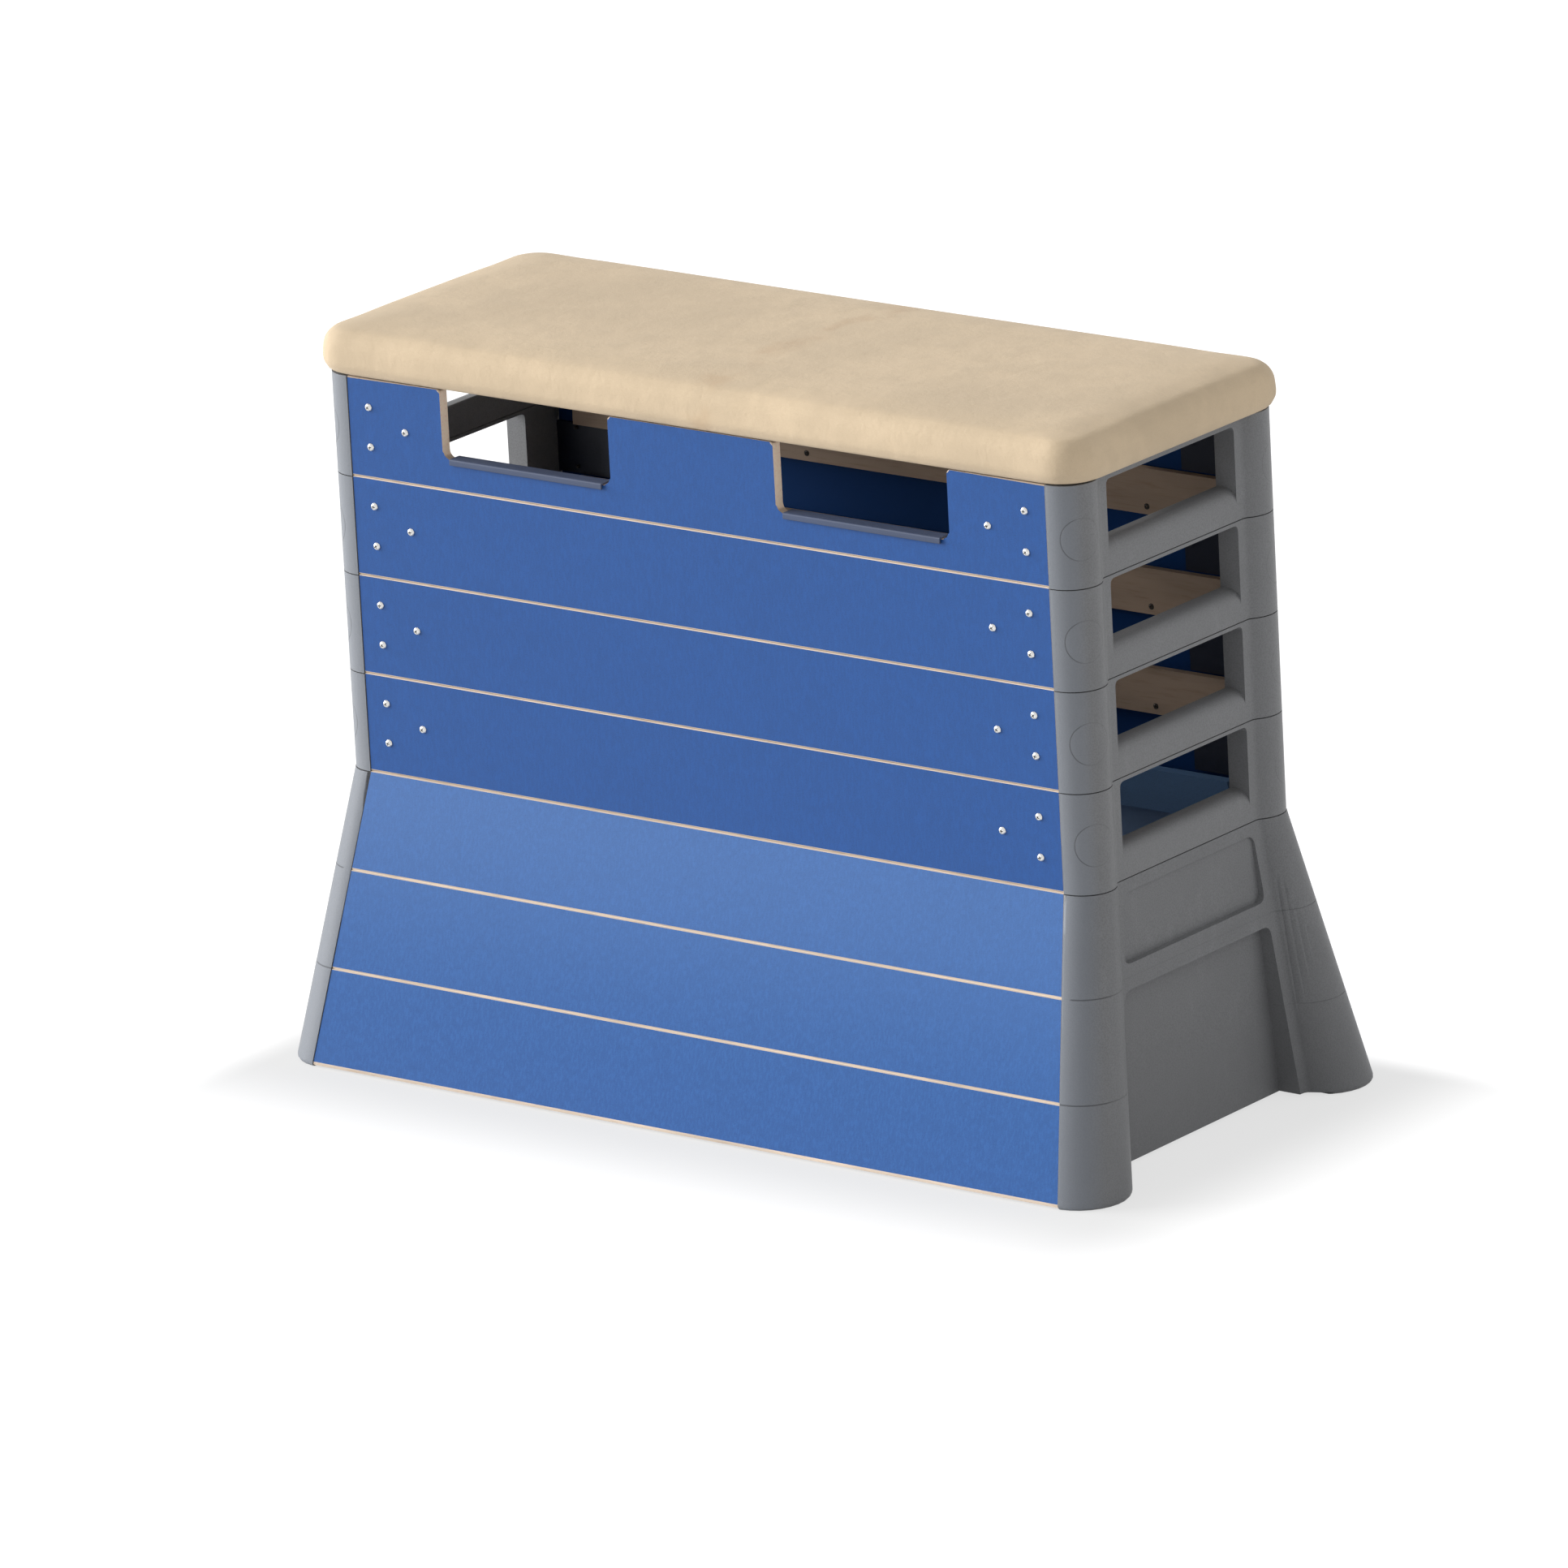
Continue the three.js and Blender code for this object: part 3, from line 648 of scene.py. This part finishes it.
def base_panel(side, turn):
    """The sloping panel with bare wood in its grooves and on its edges."""
    node = f"base_panel_{side}"
    bm = cad_bmesh(node)
    across = Matrix.Rotation(turn, 3, "Z") @ Vector((0, -math.cos(SLOPE), math.sin(SLOPE)))
    narrow_grooves(bm)
    lips = sharp_edges(bm, LIP_ANGLE, lambda e: abs(e.verts[0].co.x - e.verts[1].co.x) > 1)
    bevel(bm, lips, LIP_ROUND, 2)
    bm.normal_update()
    for face in bm.faces:
        face.material_index = 0 if abs(face.normal.dot(across)) > 0.999 else 1
    panel = piece(f"{node}_laminated", bm, "base", "base_laminate", BASE_LAMINATE, LEANING_PLY)
    weigh_normals(panel)
    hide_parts(node)


def spread_recesses(bm):
    """Moves the base end's recesses to where the photograph has them, along its sloping face and sides."""
    for vertex in bm.verts:
        x, y, z = vertex.co
        below = BASE_HEIGHT - z
        if RECESS_TOPS[0] - NEAR < below < RECESS_BOTTOMS[0] + NEAR:
            share = (below - RECESS_TOPS[0]) / (RECESS_BOTTOMS[0] - RECESS_TOPS[0])
            moved = RECESS_TOPS[1] + share * (RECESS_BOTTOMS[1] - RECESS_TOPS[1])
            deeper = RECESS_DEEPER
        elif LOWER_RECESS_TOPS[0] - NEAR < below < LOWER_RECESS_TOPS[0] + LOWER_RECESS_CORNER:
            moved = below + LOWER_RECESS_TOPS[1] - LOWER_RECESS_TOPS[0]
            deeper = 0
        else:
            continue
        old_half, half = (RECESS_HALF + RECESS_SPREAD * depth / BASE_HEIGHT for depth in (below, moved))
        on_face = abs(x) > WEB_LIMIT
        out = FACE_SPREAD * (moved - below) / BASE_HEIGHT if on_face else -deeper
        vertex.co = (x + math.copysign(out, x), y * (half / old_half), BASE_HEIGHT - moved)


def column_plan(share):
    """A base column's plan at a share of the way down.

    It is the middle and radius of the round, then of the hollow beside it, whose radius is negative.
    """
    radius = COLUMN_RADIUS + RADIUS_SPREAD * share
    x = COLUMN_X + COLUMN_SPREAD * share - radius
    land = FRAME_INNER_X + PANEL_END_SPREAD * share + COLUMN_LAND
    y = HALF_WIDTH + PANEL_SPREAD * share - math.sqrt(radius**2 - max(0, land - x) ** 2)
    hollow_x = COLUMN_X - FACE_SETBACK + FACE_SPREAD * share + VALLEY_RADIUS
    hollow_y = y - math.sqrt((radius + VALLEY_RADIUS) ** 2 - (hollow_x - x) ** 2)
    return (Vector((x, y)), radius), (Vector((hollow_x, hollow_y)), -VALLEY_RADIUS)


def column_spot(place, slack):
    """Where a point near a base column's tapered round or hollow belongs, and the true normal there."""
    share = 1 - place.z / BASE_HEIGHT
    flat = Vector((abs(place.x), abs(place.y)))
    forms = column_plan(share)
    between = forms[1][0] - forms[0][0]
    form = 0 if between.cross(flat - forms[0][0]) > 0 else 1
    centre, radius = forms[form]
    lower, wider = column_plan(share + COLUMN_STEP)[form]
    inside = centre.y - flat.y if form else centre.x - flat.x
    out = (flat - centre) / radius
    if inside > COLUMN_END_SLACK or abs(out.length - 1) * abs(radius) > slack:
        return None, None
    out.normalize()
    spot = centre + out * radius
    lean = ((lower - centre).dot(out) + wider - radius) / (COLUMN_STEP * BASE_HEIGHT)
    signs = (math.copysign(1, place.x), math.copysign(1, place.y))
    normal = Vector((out.x * signs[0], out.y * signs[1], lean)).normalized()
    return Vector((spot.x * signs[0], spot.y * signs[1], place.z)), normal


def settle_columns(bm):
    """Moves the points of the base's columns onto the true cone."""
    for vertex in bm.verts:
        spot = column_spot(vertex.co, SETTLE_SLACK)[0]
        if spot and vertex.co.z > COLUMN_LEVEL:
            vertex.co = spot


def split_columns(bm):
    """Makes the base's columns rounder: cuts them at even heights, and each facet into three."""
    for i in range(COLUMN_CUTS):
        height = BASE_HEIGHT * (i + 1) / (COLUMN_CUTS + 1)
        whole = [*bm.verts, *bm.edges, *bm.faces]
        bmesh.ops.bisect_plane(
            bm, geom=whole, dist=CUT_SLACK, plane_co=(0, 0, height), plane_no=(0, 0, 1)
        )
    settle_columns(bm)
    level = [
        e
        for e in bm.edges
        if abs(e.verts[0].co.z - e.verts[1].co.z) < CUT_SLACK
        and NEAR < e.calc_length() < LONGEST_SPLIT
        and all(column_spot(v.co, SPLIT_SLACK)[0] for v in e.verts)
    ]
    bmesh.ops.subdivide_edges(bm, edges=level, cuts=2, use_grid_fill=True)
    settle_columns(bm)


def round_columns(end):
    """Shades the base's columns as true cones, whatever way their long faces are split."""
    apply_modifiers(end)
    mesh = end.data
    normals = [corner.vector.copy() for corner in mesh.corner_normals]
    for polygon in mesh.polygons:
        for index in polygon.loop_indices:
            place = mesh.vertices[mesh.loops[index].vertex_index].co
            smooth = column_spot(place, NORMAL_SLACK)[1]
            if smooth and smooth.dot(polygon.normal) > 0.5:
                normals[index] = smooth
    mesh.normals_split_custom_set(normals)


def end_frame(node, body, material):
    """A moulded end with soft edges, whose joints lie just below the panels'.

    The flanges inside keep their sharp edges.
    """
    bm = cad_bmesh(node)
    low = min(v.co.z for v in bm.verts)
    top = max(v.co.z for v in bm.verts)
    for vertex in bm.verts:
        y, z = vertex.co.yz
        if z > top - LEVEL and body != "top_section":
            vertex.co.z -= FRAME_SINK
        elif z < low + LEVEL and body != "base":
            vertex.co.z -= FRAME_DROP
        elif body == "top_section" and abs(y) < RECESS_HALF + NEAR and -TOP_RAIL_REACH < z - top < -NEAR:
            vertex.co.z -= TOP_RAIL
    if body == "base":
        spread_recesses(bm)
        bmesh.ops.join_triangles(
            bm,
            faces=[f for f in bm.faces if len(f.verts) == 3],
            angle_face_threshold=math.radians(JOINED_ANGLE),
            angle_shape_threshold=math.radians(180),
        )
        split_columns(bm)
    reach = FRAME_INNER_X + FLANGE_THICKNESS + NEAR
    edges = sharp_edges(bm, ROUNDED_ANGLE, lambda e: max(abs(v.co.x) for v in e.verts) > reach)
    bevel(bm, edges, FRAME_ROUND)
    end = piece(f"{node}_moulding", bm, body, "grey_plastic", material)
    weigh_normals(end)
    if body == "base":
        round_columns(end)
    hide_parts(node)


def grip_strip(node):
    bm = cad_bmesh(node)
    bevel(bm, sharp_edges(bm, ROUNDED_ANGLE), STRIP_ROUND, 2)
    strip = piece(f"{node}_rubber", bm, "top_section", "grip_rubber", GRIP_RUBBER)
    weigh_normals(strip)
    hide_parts(node)


for turn, side in ((0, "front"), (math.pi, "back")):
    base_panel(side, turn)
    for section in SECTIONS:
        upper_panel(section, side, turn)
for side in ("left", "right"):
    end_frame(f"base_end_{side}", "base", BASE_PLASTIC)
    for section in SECTIONS:
        end_frame(f"{section}_end_{side}", f"{section}_section", UPPER_PLASTIC)
    grip_strip(f"grip_strip_front_{side}")
    grip_strip(f"grip_strip_back_{side}")


def dress(node, material):
    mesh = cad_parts[node].data
    mesh.materials.clear()
    mesh.materials.append(material)


for side in ("front", "back"):
    dress(f"base_guide_{side}", GUIDE_LAMINATE)
    for section in SECTIONS[:3]:
        dress(f"{section}_guide_{side}", BATTEN_PLY)
dress("deck_board", PLYWOOD)


# Screws
def recessed_head(bm, head, shank):
    """A screw along Y: a domed head towards -Y with a cross recess, and its shank towards +Y."""
    radius, height = head
    rings = []
    for r in (*HEAD_RINGS, CROSS_REACH, *HEAD_OUTER_RINGS, radius):
        wide = math.asin(min(CROSS_HALF / r, math.sin(math.radians(44))))
        ring = []
        for quarter in range(4):
            for angle in (-0.6 * wide, 0, 0.6 * wide, wide, math.radians(45), math.radians(90) - wide):
                sunk = CROSS_DEPTH * max(0, 1 - (r / CROSS_REACH) ** 2) if abs(angle) < wide * 0.9 else 0
                dome = height * math.sqrt(max(0, 1 - (r / radius) ** DOME_POWER))
                turned = angle + quarter * math.pi / 2
                ring.append(bm.verts.new((r * math.cos(turned), -dome + sunk, r * math.sin(turned))))
        rings.append(ring)
    centre = bm.verts.new((0, -height + CROSS_DEPTH, 0))
    thick, length = shank
    tip = [(thick * math.cos(a), length - thick * (1 - math.sin(a))) for a in (0, 0.5, 1.0, 1.4)]
    for r, y in ((thick, 0), *tip):
        angles = [2 * math.pi * i / len(rings[0]) for i in range(len(rings[0]))]
        rings.append([bm.verts.new((r * math.cos(a), y, r * math.sin(a))) for a in angles])
    for inner, outer in zip(rings, rings[1:]):
        for i in range(len(inner)):
            j = (i + 1) % len(inner)
            bm.faces.new((inner[i], outer[i], outer[j], inner[j]))
    for i in range(len(rings[0])):
        bm.faces.new((centre, rings[0][i], rings[0][(i + 1) % len(rings[0])]))
    bm.faces.new(rings[-1])
    for face in bm.faces:
        middle = face.calc_center_median()
        r = math.hypot(middle.x, middle.z)
        # The cross recess takes the second material, a painted shade
        if r < CROSS_REACH and middle.y > CROSS_SLACK - height * math.sqrt(1 - (r / radius) ** DOME_POWER):
            face.material_index = 1
        # Shank tips inside the box take the third material, a painted glint
        elif middle.y > PANEL_THICKNESS:
            face.material_index = 2


def screw_mesh(name, head, shank, *materials):
    bm = bmesh.new()
    recessed_head(bm, head, shank)
    return smooth_mesh(bm, name, SCREW_SHARP_ANGLE, *materials)


PANEL_SCREW = screw_mesh("panel_screw", PANEL_HEAD, PANEL_SHANK, ZINC_STEEL, DARK_STEEL_AND_RECESS_SHADE, TIP_GLINT_ZINC)
GUIDE_SCREW = screw_mesh("guide_screw", GUIDE_HEAD, GUIDE_SHANK, DARK_STEEL_AND_RECESS_SHADE, DARK_STEEL_AND_RECESS_SHADE)


def screw(name, mesh, body, place, turn, twist):
    """A screw whose head looks along -Y, turned about Z with its panel and twisted about its own axis."""
    thing = put_in_scene(name, mesh)
    turned = Matrix.Rotation(turn, 4, "Z") @ Matrix.Rotation(twist, 4, "Y")
    thing.matrix_world = Matrix.Translation(place) @ turned
    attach(thing, body)
    return thing


def panel_screws(section, side, turn):
    low = BASE_HEIGHT + SECTIONS.index(section) * PITCH
    y = -math.cos(turn) * (PANEL_FACE + SEAT_GAP)
    for number, (row, (x, z)) in enumerate(SCREW_PLACES.items()):
        for end, sign in (("left", -1), ("right", 1)):
            node = f"{section}_screw_{side}_{end}_{row}"
            twist = math.radians(67 * number + 31 * sign + 23 * SECTIONS.index(section))
            place = (sign * x, y, low + z)
            made = screw(f"{node}_cross", PANEL_SCREW, f"{section}_section", place, turn, twist)
            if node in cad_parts:
                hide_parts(node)


def guide_screws(section, side, turn):
    """Dark screws along the batten, which is fixed to the panel below the joint."""
    joint = BASE_HEIGHT + (SECTIONS.index(section) + 1) * PITCH
    inner = HALF_WIDTH - PANEL_THICKNESS - SEAT_GAP - GUIDE_THICKNESS
    for number, x in enumerate(GUIDE_SCREW_PLACES):
        place = (x, -math.cos(turn) * (inner - LEVEL), joint - GUIDE_SCREW_DROP)
        name = f"{section}_guide_{side}_screw_{number + 1}"
        screw(name, GUIDE_SCREW, f"{section}_section", place, turn + math.pi, math.radians(41 * number))


for turn, side in ((0, "front"), (math.pi, "back")):
    for section in SECTIONS:
        panel_screws(section, side, turn)
    for section in SECTIONS[:3]:
        guide_screws(section, side, turn)


# Pad
def beyond_deck(x, y):
    """How far a point lies outside the deck's rounded outline; negative over the deck."""
    dx = abs(x) - (DECK_X - DECK_CORNER)
    dy = abs(y) - (DECK_Y - DECK_CORNER)
    return math.hypot(max(dx, 0), max(dy, 0)) + min(max(dx, dy), 0) - DECK_CORNER


def pad_start():
    """The pad's shape before it is filled: the frame's, with the deck's pocket closed."""
    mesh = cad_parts["pad"].data.copy()
    pad = put_in_scene("pad_suede", mesh)
    bm = bmesh.new()
    bm.from_mesh(mesh)
    bmesh.ops.remove_doubles(bm, verts=bm.verts, dist=WELD)
    low = [f for f in bm.faces if all(v.co.z < BODY_TOP + DECK_TOP + NEAR for v in f.verts)]
    inside = [f for f in low if all(beyond_deck(v.co.x, v.co.y) < NEAR for v in f.verts)]
    bmesh.ops.delete(bm, geom=inside, context="FACES")
    rim = [e for e in bm.edges if e.is_boundary]
    bmesh.ops.contextual_create(bm, geom=rim)
    bmesh.ops.recalc_face_normals(bm, faces=bm.faces)
    bm.to_mesh(mesh)
    bm.free()
    return pad


def evened(mesh, steps):
    """The vertices' steps, each drawn towards its neighbours' many times, as foam under a cover does."""
    ends = np.array([edge.vertices for edge in mesh.edges])
    counts = np.bincount(ends.ravel(), minlength=len(steps))[:, None]
    for _ in range(PAD_EVENING):
        sums = np.zeros_like(steps)
        np.add.at(sums, ends[:, 0], steps[ends[:, 1]])
        np.add.at(sums, ends[:, 1], steps[ends[:, 0]])
        steps = (steps + sums / counts) / 2
    return steps


def filled(pad):
    """Swells the cover by cloth simulation over its foam, with the underside held."""
    voxels = pad.modifiers.new("squares", "REMESH")
    voxels.mode = "VOXEL"
    voxels.voxel_size = PAD_VOXEL
    apply_modifiers(pad)
    bm = bmesh.new()
    bm.from_mesh(pad.data)
    bm.normal_update()
    moved = {v: v.co - v.normal * PAD_SHRINK for v in bm.verts if v.co.z > BODY_TOP + PAD_HELD}
    for vertex, place in moved.items():
        vertex.co = place
    bm.to_mesh(pad.data)
    bm.free()
    before = [v.co.copy() for v in pad.data.vertices]
    held = pad.vertex_groups.new(name="held")
    held.add([v.index for v in pad.data.vertices if v.co.z < BODY_TOP + PAD_HELD], 1.0, "REPLACE")
    cloth = pad.modifiers.new("filling", "CLOTH")
    cloth.settings.use_pressure = True
    cloth.settings.uniform_pressure_force = PAD_PRESSURE
    cloth.settings.vertex_group_mass = "held"
    cloth.settings.effector_weights.gravity = 0
    scene = bpy.context.scene
    for number in range(1, PAD_FRAMES + 1):
        scene.frame_set(number)
    apply_modifiers(pad)
    scene.frame_set(1)
    steps = np.array([v.co - start for v, start in zip(pad.data.vertices, before)])
    lengths = np.linalg.norm(steps, axis=1, keepdims=True)
    steps *= np.minimum(1, PAD_CAP / np.maximum(lengths, SHORTEST_STEP))
    for vertex, start, step in zip(pad.data.vertices, before, evened(pad.data, steps)):
        vertex.co = start + Vector(step)
    subdivided = pad.modifiers.new("finer", "SUBSURF")
    subdivided.levels = 1
    subdivided.render_levels = 1
    apply_modifiers(pad)


def curl(pad):
    """Draws the pad's lower edge in under it, as the cover is pulled round the deck."""
    for vertex in pad.data.vertices:
        x, y, z = vertex.co
        out = beyond_deck(x, y)
        rise = max(0, (z - BODY_TOP) / PAD_CURL_RISE)
        if out > 0 and rise < 1:
            core = Vector((abs(x) - DECK_X + DECK_CORNER, abs(y) - DECK_Y + DECK_CORNER))
            core = Vector([max(c, 0) for c in core])
            drawn = out * PAD_CURL * (1 - math.sqrt(1 - (1 - rise) ** 2)) / core.length
            vertex.co.x -= math.copysign(core.x * drawn, x)
            vertex.co.y -= math.copysign(core.y * drawn, y)


def settle(pad):
    """Rests the pad on the deck, just clear of the box's rim."""
    for vertex in pad.data.vertices:
        over_deck = beyond_deck(vertex.co.x, vertex.co.y) < PAD_DECK_REACH
        low = BODY_TOP + PAD_RIM_GAP + (DECK_TOP if over_deck else 0)
        vertex.co.z = max(vertex.co.z, low)


pad = pad_start()
filled(pad)
curl(pad)
settle(pad)
pad.data.materials.clear()
pad.data.materials.append(BEIGE_SUEDE)
pad.data.shade_smooth()
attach(pad, "top_section")
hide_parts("pad")


# Stage
def seen_directly(nodes, links):
    """1 for camera, glossy and transmission rays."""
    path = nodes.new("ShaderNodeLightPath")
    first = nodes.new("ShaderNodeMath")
    first.operation = "MAXIMUM"
    links.new(path.outputs["Is Camera Ray"], first.inputs[0])
    links.new(path.outputs["Is Glossy Ray"], first.inputs[1])
    second = nodes.new("ShaderNodeMath")
    second.operation = "MAXIMUM"
    links.new(first.outputs[0], second.inputs[0])
    links.new(path.outputs["Is Transmission Ray"], second.inputs[1])
    return second.outputs[0]


def whitening(look):
    """The floor's own glow, which grows away from the box's feet, at each side's own pace; where it is
    weaker the floor is darker, a painted shadow round the feet, longest towards the front and +X.
    """
    ends = (look.x, COLUMN_X + COLUMN_SPREAD, FLOOR_END_FADES)
    sides = (look.y, HALF_WIDTH + PANEL_SPREAD, FLOOR_SIDE_FADES)
    total = 0.0
    for coordinate, reach, paces in (ends, sides):
        for pace in paces:
            beyond = look.math("MULTIPLY_ADD", coordinate, pace, -abs(pace) * reach)
            square = look.math("POWER", look.math("MAXIMUM", beyond, 0.0), 2.0)
            total = look.math("ADD", square, total)
    rise = look.fade(look.math("SQRT", total), 0.0, FLOOR_FADE)
    return look.math("MULTIPLY_ADD", rise, 1 - FLOOR_GLOW, FLOOR_GLOW)


def floor():
    """A wide floor that lights the box as pale grey does, and looks near white with a soft shadow, partly
    cast and partly painted.
    """
    look = Look("studio_floor")
    nodes, links = look.nodes, look.links
    nodes.remove(look.shader)
    lit = nodes.new("ShaderNodeBsdfDiffuse")
    lit.inputs["Color"].default_value = (FLOOR_LIT, FLOOR_LIT, FLOOR_LIT, 1)
    seen = nodes.new("ShaderNodeBsdfDiffuse")
    seen.inputs["Color"].default_value = (FLOOR_SHADOW, FLOOR_SHADOW, FLOOR_SHADOW, 1)
    glow = nodes.new("ShaderNodeEmission")
    links.new(whitening(look), glow.inputs["Strength"])
    both = nodes.new("ShaderNodeAddShader")
    links.new(seen.outputs[0], both.inputs[0])
    links.new(glow.outputs[0], both.inputs[1])
    choice = nodes.new("ShaderNodeMixShader")
    links.new(seen_directly(nodes, links), choice.inputs[0])
    links.new(lit.outputs[0], choice.inputs[1])
    links.new(both.outputs[0], choice.inputs[2])
    links.new(choice.outputs[0], nodes["Material Output"].inputs["Surface"])
    bm = bmesh.new()
    corners = ((-1, -1), (1, -1), (1, 1), (-1, 1))
    bm.faces.new([bm.verts.new((x * FLOOR_HALF, y * FLOOR_HALF, 0)) for x, y in corners])
    plane = put_in_scene("studio_floor", mesh_from(bm, "studio_floor", look.material))


def surroundings():
    """A world that is white to look at and lights the box softly from all sides."""
    world = bpy.data.worlds.new("studio")
    bpy.context.scene.world = world
    world.use_nodes = True
    nodes = world.node_tree.nodes
    links = world.node_tree.links
    nodes.clear()
    white = nodes.new("ShaderNodeBackground")
    white.inputs["Color"].default_value = (1, 1, 1, 1)
    soft = nodes.new("ShaderNodeBackground")
    soft.inputs["Color"].default_value = (1, 1, 1, 1)
    soft.inputs["Strength"].default_value = AMBIENT
    choice = nodes.new("ShaderNodeMixShader")
    links.new(seen_directly(nodes, links), choice.inputs[0])
    links.new(soft.outputs[0], choice.inputs[1])
    links.new(white.outputs[0], choice.inputs[2])
    out = nodes.new("ShaderNodeOutputWorld")
    links.new(choice.outputs[0], out.inputs["Surface"])


def sun(name, towards, strength, width):
    """A distant light as wide as an angle in degrees, which shines from the direction towards."""
    lamp = bpy.data.lights.new(name, "SUN")
    lamp.energy = strength
    lamp.angle = math.radians(width)
    thing = put_in_scene(name, lamp)
    thing.rotation_mode = "QUATERNION"
    thing.rotation_quaternion = Vector(towards).to_track_quat("Z", "Y")


floor()
surroundings()
sun("window", towards=(-0.89, -0.38, 0.25), strength=4.9, width=40)
sun("fill", towards=(0.8, 0.5, 0.3), strength=0.4, width=60)


# Camera
def camera():
    """The photograph's own view of the box."""
    azimuth = math.radians(CAMERA_AZIMUTH)
    elevation = math.radians(CAMERA_ELEVATION)
    roll = math.radians(CAMERA_ROLL)
    data = bpy.data.cameras.new("photo_camera")
    data.sensor_width = SENSOR_WIDTH
    data.lens = SENSOR_WIDTH * FOCAL_PIXELS / PHOTO_PIXELS
    data.clip_start = 0.1
    data.clip_end = 200
    forward = Vector(
        (
            -math.sin(azimuth) * math.cos(elevation),
            math.cos(azimuth) * math.cos(elevation),
            -math.sin(elevation),
        )
    )
    right = Vector((math.cos(azimuth), math.sin(azimuth), 0))
    up = right.cross(forward)
    local_x = right * math.cos(roll) + up * math.sin(roll)
    local_y = up * math.cos(roll) - right * math.sin(roll)
    target = right * CAMERA_ASIDE + up * CAMERA_ABOVE + Vector((0, 0, BASE_HEIGHT))
    thing = put_in_scene("photo_camera", data)
    turn = Matrix((local_x, local_y, -forward)).transposed().to_4x4()
    thing.matrix_world = Matrix.Translation(target - forward * CAMERA_DISTANCE) @ turn
    bpy.context.scene.camera = thing


camera()
bpy.context.scene.view_settings.view_transform = "Standard"
